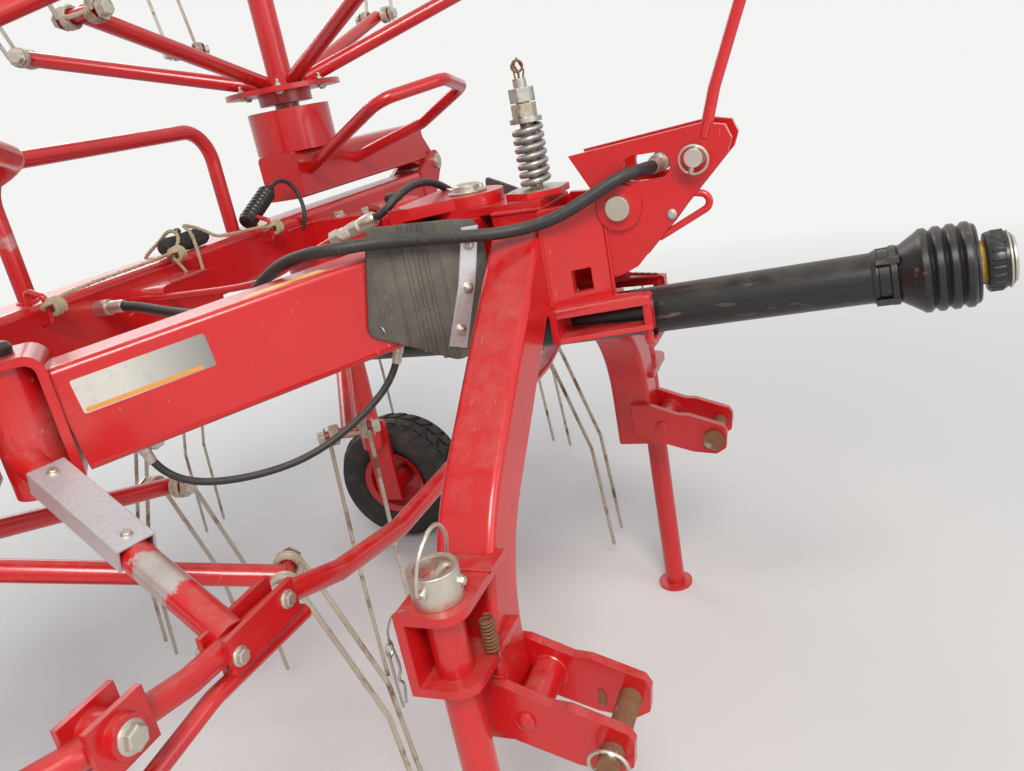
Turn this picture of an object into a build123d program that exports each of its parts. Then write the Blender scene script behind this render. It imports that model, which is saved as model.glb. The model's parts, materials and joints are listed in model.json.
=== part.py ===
from build123d import *
import math
import os

# Mounted four-rotor hay tedder, parked on its stands with both wings folded over the middle.
# Millimetres. X runs across the machine (near side negative), Y runs back, Z up from the floor.

# Three-point hitch
HITCH_X = 435.0
HITCH_Y = -118.0
HITCH_Z = 455.0
MAST_HEIGHT = 620.0
TOP_PIN_Y = -214.0
TOP_PIN_R = 12.5
HITCH_PIN_R = 14.2
SHANK_STEP = 0.5
PIN_END = 28.0
PIN_PLAY = 0.1
CLEVIS_GAP = 80.0
CHEEK_T = 14.0

# Headstock arch
LEG_SIZE = 80.0
LEG_Y = 50.0
LEG_FOOT_Z = 440.0
LEG_KNEE_Z = 665.0
LEG_BEND_R = 250.0
ARCH_TOP_Z = 1034.0
ARCH_APEX_Z = 1028.0
LEG_TOP_Z = 1010.0
CROWN_X = 66.0
THROAT_Z = 884.0
CORNER_R = 10.0
MAST_HALF_GAP = 34.0
MAST_T = 12.0
SECOND_PIN = (-99.0, 1019.0)
SECOND_BOSS_R = 33.0
WEB_X = 92.0

# Swivel between headstock and frame
PIVOT_Y = 150.0
PIVOT_R = 20.0
RUN_FIT = 0.05
SEAT_GAP = 0.3
NOSE_LOW_Z = 890.0
NOSE_HIGH_Z = 1034.0
NOSE_HALF = 40.0
NOSE_W = 80.0
NOSE_REAR_W = 100.0
ARM_INSET = 20.0
LUG_T = 12.0
LUG_R = 60.0
TONGUE_T = 18.0
TONGUE_R = 56.0
PIN_STAND = 14.0

# Spring over the arch
SPRING_Y = 35.0
SPRING_R = 19.0
SPRING_WIRE_R = 5.0
SPRING_TURNS = 7
SPRING_H = 96.0
SPRING_PLATE_T = 10.0

# Rubber flaps between arch and arms
FLAP_OFF = 7.7
FLAP_T = 5.0
STRIP_T = 3.0

# Parking stands
STAND_X = 530.0
STAND_Y = 40.0
STAND_R = 22.5
STAND_TOP_Z = 712.0
STAND_FOOT_R = 40.0
BRACKET_LOW_Z = 580.0
BRACKET_HIGH_Z = 688.0
BRACKET_T = 12.0
COLLAR_R = 30.0
COLLAR_H = 40.0

# Drive shaft
SHAFT_Z = 833.0
SHAFT_TILT = 3.8
HOOK_Y = -118.0
HOOK_R = 7.0
GUARD_R = 35.0
GUARD_FRONT_Y = -437.0
BELL_FRONT_Y = -553.0
BELL_R = 57.0
YOKE_FRONT_Y = -600.0
YOKE_R = 29.0
SPLINE_R = 17.5
SPLINE_LEN = 55.0
INNER_SHAFT_R = 20.0
REAR_GUARD_R = 32.0

# Frame
ARM_W = 80.0
ARM_H = 142.0
ARM_FRONT = (121.0, 170.0, 961.0)
ARM_REAR = (495.0, 544.0, 913.0)
COLUMN_X = 533.0
COLUMN_Y = 582.0
COLUMN_R = 38.0
COLUMN_LOW_Z = 826.0
BRACKET_LEN = 120.0
BRACKET_W = 96.0
BRACKET_TOP_Z = 1010.0
BRACKET_WALL = 12.0
LINK_LOW_Z = 907.0
LINK_HIGH_Z = 985.0
BEAM_Y = 880.0
BEAM_SIZE = 110.0
BEAM_Z = 960.0
BEAM_END_X = 1230.0
HOOP_X = 275.0
HOOP_SHIFT = 44.0
HOOP_H = 225.0
HOOP_R = 15.0
HOOP_BEND_R = 70.0

# Wing hinge
HINGE_X = 1290.0
HINGE_Z = 1030.0
HINGE_PIN_R = 15.0
HINGE_CUT_FRONT = 700
HINGE_CUT_REAR = 1100
KNUCKLE_R = 35.0
LUG_PLATE_T = 15.0

# Rotors and wheels, given for the inner pair
ROTOR_X = 645.0
DISC_Z = 760.0
DISC_R = 140.0
DISC_T = 12.0
HUB_R = 65.0
HUB_H = 65.0
COLUMN_LEG_R = 30.0
ARM_COUNT = 6
TINE_ARM_R = 17.0
TINE_ARM_REACH = 545.0
TINE_ARM_END_Z = 590.0
COIL_R = 23.0
COIL_LEN = 100.0
COIL_PIN_R = 12.0
TINE_R = 4.5
TINE_SPREAD = 42.0
TINE_KNEE = (655.0, 330.0)
TINE_TIP = (674.0, 56.0)
WHEEL_R = 185.0
WHEEL_W = 150.0
WHEEL_OFFSET = 112.0
RIM_R = 88.0
AXLE_R = 15.0
LEG_T = 15.0

# Hoses, near side
HOSE_R = 9.0
LOW_HOSE_R = 5.5
COUPLING_R = 12.0
HOSE_POINTS = [
    (-150, 795, 975), (-150, 748, 975), (-160, 660, 958), (-180, 560, 950), (-208, 455, 970), (-240, 372, 1022),
    (-262, 300, 1042), (-264, 242, 1045), (-233, 191, 1042), (-178, 136, 1030), (-136, 90, 1018),
    (-110, 38, 1014), (-97, -20, 1022), (-76, -74, 1046), (-62, -110, 1063), (-34, -140, 1066), (-2, -144, 1063.3),
    (20, -144, 1063.3)]
LOW_HOSE_POINTS = [
    (-444, 494, 834), (-440, 490, 806), (-412, 462, 768), (-356, 406, 750), (-296, 346, 752), (-238, 288, 784),
    (-190, 240, 832), (-181, 231, 868)]

# Guard tubes
RAIL_Y = 205.0
RAIL_R = 14.0
LOW_RAIL_R = 10.0
STAY_R = 20.0
COVER_START = 70
COVER_LEN = 190
COVER_WALL = 3
COVER_LIP = 8
STAY_FOOT = (673.0, 205.0, 727.0)
STAY_HEAD = (553.0, 583.0, 884.0)
CLAMP_X = (585.0, 700.0)
CLAMP_H = 42.0
CLAMP_T = 6.0
FORK_X = 836.0
WING_RAIL_R = 14.0

SIDES = (("near", -1), ("far", 1))


def block(x0, x1, y0, y1, z0, z1):
    """A plain box between two corners."""
    return Pos((x0 + x1) / 2, (y0 + y1) / 2, (z0 + z1) / 2) * Box(x1 - x0, y1 - y0, z1 - z0)


def rod(start, end, radius):
    """A round bar from one point to another."""
    a = Vector(*start)
    b = Vector(*end)
    return extrude(Plane(origin=a, z_dir=b - a) * Circle(radius), (b - a).length)


def pipe(points, radius, bend):
    """A round tube along straight runs joined by equal bends."""
    path = FilletPolyline(*points, radius=bend)
    return sweep(Plane(origin=path @ 0, z_dir=path % 0) * Circle(radius), path=path)


def cord(points, radius):
    """A hose along straight runs, each bend as wide as its two runs allow."""
    bends = []
    for a, b, c in zip(points, points[1:], points[2:]):
        before = Vector(*b) - Vector(*a)
        beyond = Vector(*c) - Vector(*b)
        half_turn = math.radians(before.get_angle(beyond)) / 2
        bends.append(0.45 * min(before.length, beyond.length) / math.tan(half_turn))
    print("hose bends", [round(bend) for bend in bends])
    path = FilletPolyline(*points, radius=bends)
    return sweep(Plane(origin=path @ 0, z_dir=path % 0) * Circle(radius), path=path)


def box_bar(start, end, width, height, corner):
    """A rectangular bar between two points, its height in the upright plane."""
    a = Vector(*start)
    b = Vector(*end)
    along = (b - a).normalized()
    across = along.cross(Vector(0, 0, 1)).normalized()
    face = Plane(origin=a, x_dir=across, z_dir=along) * RectangleRounded(width, height, corner)
    return extrude(face, (b - a).length)


def side_plate(outline, x0, x1, corners=0.0):
    """A plate cut to an outline of (y, z) points, between two x."""
    face = make_face(Polyline(*outline, close=True))
    if corners:
        face = fillet(face.vertices(), corners)
    return extrude(Plane(origin=(x0, 0, 0), x_dir=(0, 1, 0), z_dir=(1, 0, 0)) * face, x1 - x0)


def front_plate(outline, y0, y1):
    """A plate cut to an outline of (x, z) points, between two y."""
    face = make_face(Polyline(*outline, close=True))
    return extrude(Plane(origin=(0, y1, 0), x_dir=(1, 0, 0), z_dir=(0, -1, 0)) * face, y1 - y0)


def mirrored(part, sign):
    """The near part as modelled on the far side, or its mirror image."""
    if sign > 0:
        return part
    return mirror(part, about=Plane.YZ)


def arch():
    """Both curved legs and the crown that joins them over the drive shaft."""
    path = FilletPolyline(
        (HITCH_X, LEG_Y, LEG_FOOT_Z), (HITCH_X, LEG_Y, LEG_KNEE_Z), (15, LEG_Y, ARCH_APEX_Z - 13),
        radius=LEG_BEND_R)
    section = Plane(origin=path @ 0, z_dir=path % 0) * RectangleRounded(LEG_SIZE, LEG_SIZE, CORNER_R)
    leg = sweep(section, path=path)
    half = LEG_SIZE / 2
    body = leg + mirror(leg, about=Plane.YZ)
    body -= block(-HITCH_X, HITCH_X, LEG_Y - LEG_SIZE, LEG_Y + LEG_SIZE, LEG_TOP_Z, LEG_TOP_Z + LEG_SIZE)
    body += block(-CROWN_X, CROWN_X, LEG_Y - half, LEG_Y + half, THROAT_Z, ARCH_TOP_Z)
    return body + block(-WEB_X - 20, WEB_X + 20, LEG_Y - half, LEG_Y + half, THROAT_Z, THROAT_Z + 46)


def mast():
    """Two cheek plates that carry the top link pin, each with its slanting web to the arch."""
    top_z = HITCH_Z + MAST_HEIGHT
    front = LEG_Y - LEG_SIZE / 2
    outline = [
        (-35, top_z + 24), (-227, top_z + 41), (-255, top_z + 34), (-262, top_z + 16), (-255, top_z - 3),
        (-180, 997), (-161, 976), (-135, 951), (-115, 931), (-89, 920), (-59, 916), (-69, ARCH_TOP_Z)]
    face = make_face(Polyline(*outline, close=True))
    slot = Pos(-144, top_z - 6) * RectangleRounded(66, 36, 17)
    face = face - slot - Pos(TOP_PIN_Y, top_z) * Circle(TOP_PIN_R + SHANK_STEP + PIN_PLAY)
    face = face - Pos(*SECOND_PIN) * Circle(TOP_PIN_R + PIN_PLAY)
    inner = MAST_HALF_GAP
    outer = MAST_HALF_GAP + MAST_T
    plate = extrude(Plane(origin=(inner, 0, 0), x_dir=(0, 1, 0), z_dir=(1, 0, 0)) * face, MAST_T)
    web = make_face(Polyline(
        (inner, -74), (outer, -74), (WEB_X, front), (WEB_X - 14, front), (outer - 4, -54), (inner, -54), close=True))
    plate += extrude(Plane.XY.offset(NOSE_LOW_Z) * web, ARCH_TOP_Z - NOSE_LOW_Z)
    plate -= block(outer, WEB_X, -48, -22, NOSE_LOW_Z + 16, NOSE_LOW_Z + 50)
    boss = Plane(origin=(outer, *SECOND_PIN), z_dir=(1, 0, 0)) * (
        Circle(SECOND_BOSS_R) - Circle(TOP_PIN_R + PIN_PLAY))
    plate += extrude(boss, 6)
    return Compound(children=[plate, mirror(plate, about=Plane.YZ)])


def top_link_pin():
    """The stepped pin at the mast's tip, its free end on the near side."""
    z = HITCH_Z + MAST_HEIGHT
    outer = MAST_HALF_GAP + MAST_T
    pin = rod((-outer, TOP_PIN_Y, z), (outer + 10, TOP_PIN_Y, z), TOP_PIN_R + SHANK_STEP)
    pin += rod((-outer - PIN_END, TOP_PIN_Y, z), (-outer, TOP_PIN_Y, z), TOP_PIN_R)
    return pin + rod((outer + SEAT_GAP, TOP_PIN_Y, z), (outer + 10, TOP_PIN_Y, z), 20)


def mast_cross_pin():
    """The lower pin between the mast plates, flush with their bosses' washers."""
    y, z = SECOND_PIN
    outer = MAST_HALF_GAP + MAST_T + 6
    pin = rod((-outer - 8, y, z), (outer + 8, y, z), TOP_PIN_R)
    for sign in (-1, 1):
        pin += rod((sign * (outer + SEAT_GAP), y, z), (sign * (outer + 8), y, z), TOP_PIN_R + 5)
    return pin


def hose_guide():
    """The bent rod on the mast's front edge, and the tube that rises from its top, near side."""
    x = -MAST_HALF_GAP - MAST_T / 2
    top_z = HITCH_Z + MAST_HEIGHT
    loop = pipe([(x, -180, 1030), (x, -250, 1016), (x, -150, 968)], 5, 12)
    riser = pipe([(x, -226, top_z + 20), (x, -246, top_z + 84), (x, -310, top_z + 235), (x, -290, top_z + 290)], 8, 40)
    return loop, riser


def lug_plate(low_z, front_y):
    """A swivel lug over or under the nose, reaching forward to the arch."""
    face = Pos(0, PIVOT_Y) * Circle(LUG_R) + Pos(0, (front_y + PIVOT_Y) / 2) * Rectangle(2 * LUG_R, PIVOT_Y - front_y)
    face = face - Pos(0, PIVOT_Y) * Circle(PIVOT_R + RUN_FIT)
    return extrude(Plane.XY.offset(low_z) * face, LUG_T)


def swivel_pin():
    """The upright pin that the frame's nose turns on."""
    top = NOSE_HIGH_Z + LUG_T + SEAT_GAP + TONGUE_T + PIN_STAND
    pin = rod((0, PIVOT_Y, NOSE_LOW_Z - LUG_T - 4), (0, PIVOT_Y, top), PIVOT_R)
    return chamfer(pin.edges().sort_by(Axis.Z)[-1], 3)


def brake_spring():
    """Spring, rod and nuts that stand on the arch."""
    seat = ARCH_TOP_Z + LUG_T + SEAT_GAP
    top = seat + SPRING_PLATE_T
    washer = top + SPRING_H + 2 * SEAT_GAP
    stack = Pos(0, SPRING_Y, seat) * extrude(RegularPolygon(50, 6), SPRING_PLATE_T)
    stack += rod((0, SPRING_Y, top - 1), (0, SPRING_Y, washer + 62), 10)
    stack += rod((0, SPRING_Y, washer), (0, SPRING_Y, washer + 7), SPRING_R + SPRING_WIRE_R)
    for low in (washer + 7, washer + 29):
        stack += Pos(0, SPRING_Y, low) * extrude(RegularPolygon(19, 6), 20)
    rise = SPRING_H - 2 * SPRING_WIRE_R
    coil = Helix(rise / SPRING_TURNS, rise, SPRING_R)
    wire = sweep(Plane(origin=coil @ 0, z_dir=coil % 0) * Circle(SPRING_WIRE_R), path=coil, is_frenet=True)
    return stack, Pos(0, SPRING_Y, top + SEAT_GAP + SPRING_WIRE_R) * wire


def clevis():
    """Two cheeks and the round spacer of one lower hitch point, far side."""
    outline = [
        (48, 468), (48, 536), (8, 534), (-49, 511), (-72, 509), (-139, 484), (-146, 470), (-141, 434),
        (-120, 421), (-72, 427)]
    cheeks = []
    for sign in (-1, 1):
        inner = HITCH_X + sign * CLEVIS_GAP / 2
        low, high = sorted((inner, inner + sign * CHEEK_T))
        cheeks.append(side_plate(outline, low, high, 6))
    half = CLEVIS_GAP / 2
    part = cheeks[0] + cheeks[1] + rod((HITCH_X - half, -13, 485), (HITCH_X + half, -13, 485), 22)
    hole_r = HITCH_PIN_R + SHANK_STEP + PIN_PLAY
    return part - rod((HITCH_X - 90, HITCH_Y, HITCH_Z), (HITCH_X + 90, HITCH_Y, HITCH_Z), hole_r)


def hitch_pin():
    """The loose stepped pin of one lower hitch point, its free end outwards, far side."""
    outer = CLEVIS_GAP / 2 + CHEEK_T
    axis = [(HITCH_X + step, HITCH_Y, HITCH_Z) for step in (-outer - 10, -outer - SEAT_GAP, outer, outer + PIN_END)]
    pin = rod(axis[0], axis[2], HITCH_PIN_R + SHANK_STEP)
    pin += rod(axis[0], axis[1], HITCH_PIN_R + 7)
    return pin + rod(axis[2], axis[3], HITCH_PIN_R)


def stand_bracket(leg):
    """Top and bottom plates and the back web that hold one stand, cut to its leg, far side."""
    leg_face = HITCH_X - CORNER_R
    end = STAND_X + 40
    y0 = STAND_Y - 40
    y1 = STAND_Y + 40
    part = block(leg_face, end, y1 - BRACKET_T, y1, BRACKET_LOW_Z, BRACKET_HIGH_Z)
    for low in (BRACKET_LOW_Z, BRACKET_HIGH_Z - BRACKET_T):
        plate = block(leg_face, end, y0, y1, low, low + BRACKET_T)
        corner = plate.edges().filter_by(Axis.Z).sort_by(lambda e: e.center().X - e.center().Y)[-1]
        part += fillet(corner, 30)
    return part - leg - rod((STAND_X, STAND_Y, 500), (STAND_X, STAND_Y, 800), STAND_R + RUN_FIT)


def stand():
    """One parking stand with its foot disc, far side."""
    part = rod((STAND_X, STAND_Y, 0), (STAND_X, STAND_Y, STAND_TOP_Z), STAND_R)
    part += rod((STAND_X, STAND_Y, 0), (STAND_X, STAND_Y, 8), STAND_FOOT_R)
    return part


def stand_collar():
    """The ring that is pinned to the top of a stand, far side."""
    low = BRACKET_HIGH_Z + SEAT_GAP
    ring = rod((STAND_X, STAND_Y, low), (STAND_X, STAND_Y, low + COLLAR_H), COLLAR_R)
    return ring - rod((STAND_X, STAND_Y, low - 5), (STAND_X, STAND_Y, low + 60), STAND_R + PIN_PLAY)


def shaft_guard():
    """The plastic guard tube over the front half of the drive shaft."""
    tube = rod((0, GUARD_FRONT_Y, SHAFT_Z), (0, PIVOT_Y - 36, SHAFT_Z), GUARD_R)
    tube += rod((0, GUARD_FRONT_Y - 23, SHAFT_Z), (0, GUARD_FRONT_Y, SHAFT_Z), GUARD_R + 2)
    start = GUARD_FRONT_Y - 23
    ribs = 4
    pitch = (start - 25 - BELL_FRONT_Y) / ribs
    outline = [(start, GUARD_R + 2), (start - 25, BELL_R - 4)]
    for i in range(ribs):
        y = start - 25 - i * pitch
        outline += [(y - pitch * 0.3, BELL_R), (y - pitch * 0.7, BELL_R), (y - pitch, BELL_R - 5)]
    outline += [(BELL_FRONT_Y, BELL_R - 9), (start - 22, BELL_R - 9), (start, GUARD_R - 4)]
    face = make_face(Polyline(*[(r, y) for y, r in outline], close=True))
    bell = revolve(face, Axis.Y)
    tube += Pos(0, 0, SHAFT_Z) * bell
    return tube - rod((0, start - 1, SHAFT_Z), (0, start + 100, SHAFT_Z), INNER_SHAFT_R + RUN_FIT)


def shaft_yoke():
    """The front yoke, its collar and the splined bore."""
    z = SHAFT_Z
    front = YOKE_FRONT_Y
    bore_end = front + SPLINE_LEN
    joint_y = front + 79
    profile = [
        (SPLINE_R, front), (YOKE_R, front), (YOKE_R, front + 14), (YOKE_R + 7, front + 14),
        (YOKE_R + 7, front + 34), (YOKE_R, front + 34), (YOKE_R, bore_end + 9), (0, bore_end + 9),
        (0, bore_end), (SPLINE_R, bore_end)]
    part = Pos(0, 0, z) * revolve(make_face(Polyline(*profile, close=True)), Axis.Y)
    for sign in (-1, 1):
        part += block(-16, 16, bore_end + 4, joint_y + 13, z + sign * 21 - 6, z + sign * 21 + 6)
        part += block(sign * 21 - 6, sign * 21 + 6, joint_y - 13, joint_y + 25, z - 16, z + 16)
    part += rod((-30, joint_y, z), (30, joint_y, z), 9)
    part += rod((0, joint_y, z - 30), (0, joint_y, z + 30), 9)
    return part + rod((0, joint_y + 19, z), (0, GUARD_FRONT_Y + 60, z), INNER_SHAFT_R)


def shaft_hook():
    """The bent rod under the tray that the parked shaft lies in."""
    away = PIVOT_Y - HOOK_Y
    under = SHAFT_Z + away * math.tan(math.radians(SHAFT_TILT)) - GUARD_R - 0.4 - HOOK_R
    side = GUARD_R + HOOK_R + 8
    return pipe([(side, HOOK_Y, NOSE_LOW_Z - 4), (side, HOOK_Y, under), (-side, HOOK_Y, under),
                 (-side, HOOK_Y, under + 34)], HOOK_R, 22)


def tray():
    """Two gusset plates beside the shaft under the mast, closed by an end plate, far side."""
    front = LEG_Y - LEG_SIZE / 2
    inner = MAST_HALF_GAP + MAST_T
    outline = make_face(Polyline(
        (inner, front), (WEB_X + 20, front), (inner + 20, HOOK_Y - 12), (inner, HOOK_Y - 12), close=True))
    part = extrude(Plane.XY.offset(NOSE_LOW_Z - LUG_T) * outline, LUG_T)
    part += extrude(Plane.XY.offset(THROAT_Z - 44) * outline, LUG_T - 4)
    part += block(inner, inner + 20, HOOK_Y - 12, HOOK_Y, THROAT_Z - 44, NOSE_LOW_Z)
    return part + block(inner, WEB_X + 20, front - 10, front, THROAT_Z - 44, NOSE_LOW_Z)


def rear_shaft():
    """Joint ball and guard of the rear half of the drive shaft."""
    ball = Pos(0, PIVOT_Y, SHAFT_Z) * Sphere(28)
    return ball + rod((0, PIVOT_Y, SHAFT_Z), (0, 745, SHAFT_Z), REAR_GUARD_R - 12) + rod(
        (0, PIVOT_Y + 50, SHAFT_Z), (0, 740 - 30, SHAFT_Z), REAR_GUARD_R)


def nose():
    """The bored box at the point of the frame, with the rounded tongue that lies over the upper lug."""
    low = NOSE_LOW_Z + SEAT_GAP
    high = NOSE_HIGH_Z - SEAT_GAP
    rear = PIVOT_Y + LUG_R + 8
    half = TONGUE_R
    part = block(-NOSE_W, NOSE_W, PIVOT_Y - NOSE_HALF, PIVOT_Y + NOSE_HALF, low, high)
    part += block(-NOSE_REAR_W, NOSE_REAR_W, PIVOT_Y, rear + 24, low, high)
    over = NOSE_HIGH_Z + LUG_T + SEAT_GAP
    part += block(-NOSE_REAR_W, NOSE_REAR_W, rear, rear + 24, low, over + 1)
    plan = Pos(0, PIVOT_Y) * Circle(half) + make_face(Polyline(
        (-half, PIVOT_Y), (half, PIVOT_Y), (NOSE_REAR_W, rear - 12), (NOSE_REAR_W, rear + 24),
        (-NOSE_REAR_W, rear + 24), (-NOSE_REAR_W, rear - 12), close=True))
    part += extrude(Plane.XY.offset(over) * plan, TONGUE_T)
    return part - rod((0, PIVOT_Y, low - 10), (0, PIVOT_Y, over + 2 * TONGUE_T), PIVOT_R + RUN_FIT)


def flap():
    """Rubber flap behind the arch over the arm's front end, and the strip that clamps it, far side."""
    side = math.sqrt(0.5)
    edge = (LEG_Y + LEG_SIZE / 2) / side + FLAP_OFF + FLAP_T + SEAT_GAP
    outline = [(edge, 1004), (148, 1039), (186, 1047), (308, 1062), (338, 915), (271, 876), (214, 842),
               (170, 850), (edge, 884)]
    clamp = [(146, 1030), (172, 1032), (194, 950), (226, 868), (200, 858), (166, 950)]
    sheets = []
    for points, off, thick in ((outline, FLAP_OFF, FLAP_T), (clamp, FLAP_OFF + FLAP_T, STRIP_T)):
        face = make_face(Polyline(*points, close=True))
        plane = Plane(origin=(off * side, -off * side, 0), x_dir=(side, side, 0), z_dir=(side, -side, 0))
        sheets.append(extrude(plane * face, thick))
    return sheets


def arm(point):
    """One side beam, the bent bracket at its rear end and the column under it, far side."""
    rise = ARM_INSET * (ARM_FRONT[2] - ARM_REAR[2]) / (ARM_REAR[0] - ARM_FRONT[0])
    start = (ARM_FRONT[0] - ARM_INSET, ARM_FRONT[1] - ARM_INSET, ARM_FRONT[2] + rise)
    bar = box_bar(start, ARM_REAR, ARM_W, ARM_H, CORNER_R) - point
    low = ARM_REAR[2] - ARM_H / 2
    side = math.sqrt(0.5)
    wall = BRACKET_WALL
    outline = [(0, low), (0, BRACKET_TOP_Z), (BRACKET_LEN, BRACKET_TOP_Z), (BRACKET_LEN, low),
               (BRACKET_LEN - wall, low), (BRACKET_LEN - wall, BRACKET_TOP_Z - wall), (wall, BRACKET_TOP_Z - wall),
               (wall, low)]
    face = make_face(Polyline(*outline, close=True))
    outer = [v for v in face.vertices() if v.Y > BRACKET_TOP_Z - 1]
    face = fillet(outer, 26)
    inner = [v for v in face.vertices() if abs(v.Y - BRACKET_TOP_Z + wall) < 1]
    face = fillet(inner, 14)
    start = (ARM_REAR[0] - side * BRACKET_W / 2, ARM_REAR[1] + side * BRACKET_W / 2, 0)
    plane = Plane(origin=start, x_dir=(side, side, 0), z_dir=(side, -side, 0))
    bracket = extrude(plane * face, BRACKET_W)
    column = rod((COLUMN_X, COLUMN_Y, COLUMN_LOW_Z), (COLUMN_X, COLUMN_Y, BRACKET_TOP_Z - 2), COLUMN_R)
    beam_front = BEAM_Y - BEAM_SIZE / 2
    rear = (ARM_REAR[0] + side * (BRACKET_LEN - 3), ARM_REAR[1] + side * (BRACKET_LEN - 3))
    half = side * BRACKET_W / 2
    plan = make_face(Polyline(
        (rear[0] - half, rear[1] + half), (rear[0] + half, rear[1] - half), (rear[0] + half + 30, rear[1]),
        (rear[0] + half + 30, beam_front), (rear[0] - half, beam_front), close=True))
    link = extrude(Plane.XY.offset(LINK_LOW_Z) * plan, LINK_HIGH_Z - LINK_LOW_Z)
    rear_part = bracket + column + link
    return bar - rear_part, rear_part


def main_beam():
    """The cross beam with a pair of hinge lugs at each end."""
    half = BEAM_SIZE / 2
    beam = box_bar((-BEAM_END_X, BEAM_Y, BEAM_Z), (BEAM_END_X, BEAM_Y, BEAM_Z), BEAM_SIZE, BEAM_SIZE, 14)
    for sign in (-1, 1):
        for y0 in (BEAM_Y - half, BEAM_Y + half - LUG_PLATE_T):
            web = front_plate([
                (sign * (BEAM_END_X - 60), BEAM_Z - half + 10), (sign * (BEAM_END_X + 6), BEAM_Z - half + 10),
                (sign * (HINGE_X + 30), HINGE_Z - 16), (sign * (HINGE_X - 20), HINGE_Z + 28),
                (sign * (BEAM_END_X - 60), BEAM_Z + half)], y0, y0 + LUG_PLATE_T)
            boss = rod((sign * HINGE_X, y0, HINGE_Z), (sign * HINGE_X, y0 + LUG_PLATE_T, HINGE_Z), KNUCKLE_R)
            beam += web + boss
        beam -= rod((sign * HINGE_X, HINGE_CUT_FRONT, HINGE_Z), (sign * HINGE_X, HINGE_CUT_REAR, HINGE_Z),
                    HINGE_PIN_R + RUN_FIT)
    return beam


def hinge_pin():
    """The pin of one wing hinge, far side."""
    half = BEAM_SIZE / 2
    pin = rod((HINGE_X, BEAM_Y - half - 12, HINGE_Z), (HINGE_X, BEAM_Y + half + 12, HINGE_Z), HINGE_PIN_R)
    for sign in (-1, 1):
        y = BEAM_Y + sign * (half + SEAT_GAP)
        pin += rod((HINGE_X, y, HINGE_Z), (HINGE_X, y + sign * 8, HINGE_Z), HINGE_PIN_R + 8)
    return pin


def hoop():
    """The bent round handle on the cross beam, set off towards the far side."""
    z0 = BEAM_Z + BEAM_SIZE / 2
    z1 = z0 + HOOP_H
    left = HOOP_SHIFT - HOOP_X
    right = HOOP_SHIFT + HOOP_X
    return pipe([(left, BEAM_Y, z0), (left, BEAM_Y, z1), (right, BEAM_Y, z1), (right, BEAM_Y, z0)],
                HOOP_R, HOOP_BEND_R)


def rope_hooks():
    """Bent rods on the beam's front edge that the cord is led through."""
    hooks = []
    front = BEAM_Y - BEAM_SIZE / 2
    top = BEAM_Z + BEAM_SIZE / 2
    for x in (-262.0, 352.0):
        hooks.append(pipe([(x, front + 16, top), (x, front + 16, top + 26), (x, front - 22, top + 12),
                           (x, front - 22, top - 28), (x, front, top - 34)], 5, 9))
    return Compound(children=hooks)


def gearbox():
    """The middle gearbox on the front of the cross beam."""
    front = BEAM_Y - BEAM_SIZE / 2
    case = block(-75, 75, front - 80, front, 775, 985)
    return fillet(case.edges().filter_by(Axis.Y), 16)


def wing_beam():
    """One wing beam with its knuckle, as it lies in work on the far side."""
    half = BEAM_SIZE / 2
    start = 2 * HINGE_X - BEAM_END_X
    beam = box_bar((start, BEAM_Y, BEAM_Z), (HINGE_X + ROTOR_X + 100, BEAM_Y, BEAM_Z), BEAM_SIZE, BEAM_SIZE, 14)
    inner = half - LUG_PLATE_T - 2
    web = front_plate([
        (start + 60, BEAM_Z - half + 10), (start - 6, BEAM_Z - half + 10), (HINGE_X - 30, HINGE_Z - 16),
        (HINGE_X + 20, HINGE_Z + 28), (start + 60, BEAM_Z + half)], BEAM_Y - inner, BEAM_Y + inner)
    boss = rod((HINGE_X, BEAM_Y - inner, HINGE_Z), (HINGE_X, BEAM_Y + inner, HINGE_Z), KNUCKLE_R)
    bore = rod((HINGE_X, HINGE_CUT_FRONT, HINGE_Z), (HINGE_X, HINGE_CUT_REAR, HINGE_Z), HINGE_PIN_R + RUN_FIT)
    return beam + web + boss - bore


def gearcase(x):
    """Rotor gear housing, its fixed column and the wheel leg, under a beam at x."""
    under = BEAM_Z - BEAM_SIZE / 2
    part = rod((x, BEAM_Y, DISC_Z + 45), (x, BEAM_Y, under), 100)
    part += rod((x, BEAM_Y, 330), (x, BEAM_Y, DISC_Z + 60), COLUMN_LEG_R)
    leg_x = x + COLUMN_LEG_R - LEG_T
    part += block(leg_x, leg_x + LEG_T, BEAM_Y - 35, BEAM_Y + 35, WHEEL_R - 35, 400)
    axle_end = x + WHEEL_OFFSET + WHEEL_W / 2 - 10
    part += rod((leg_x, BEAM_Y, WHEEL_R), (axle_end, BEAM_Y, WHEEL_R), AXLE_R)
    return part


def axle_cap(x):
    """The washer and nut that keep a wheel on its axle."""
    end = x + WHEEL_OFFSET + WHEEL_W / 2 - 10
    return rod((end, BEAM_Y, WHEEL_R), (end + 8, BEAM_Y, WHEEL_R), AXLE_R + 8)


def rim(x):
    """Wheel centre: hub tube, dished disc and rim barrel."""
    cx = x + WHEEL_OFFSET
    half = WHEEL_W / 2
    hub_in = x + COLUMN_LEG_R + 1 - cx
    outline = [
        (hub_in, AXLE_R + RUN_FIT), (half - 11, AXLE_R + RUN_FIT), (half - 11, 30), (12, 30), (12, 74),
        (half - 22, 80), (half - 14, RIM_R + 8), (half - 20, RIM_R + 8), (half - 26, RIM_R - SEAT_GAP),
        (26 - half, RIM_R - SEAT_GAP), (20 - half, RIM_R + 8), (14 - half, RIM_R + 8), (22 - half, 80),
        (4, 74), (4, 30), (hub_in, 30)]
    face = make_face(Polyline(*outline, close=True))
    return Pos(cx, BEAM_Y, WHEEL_R) * revolve(face, Axis.X)


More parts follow.
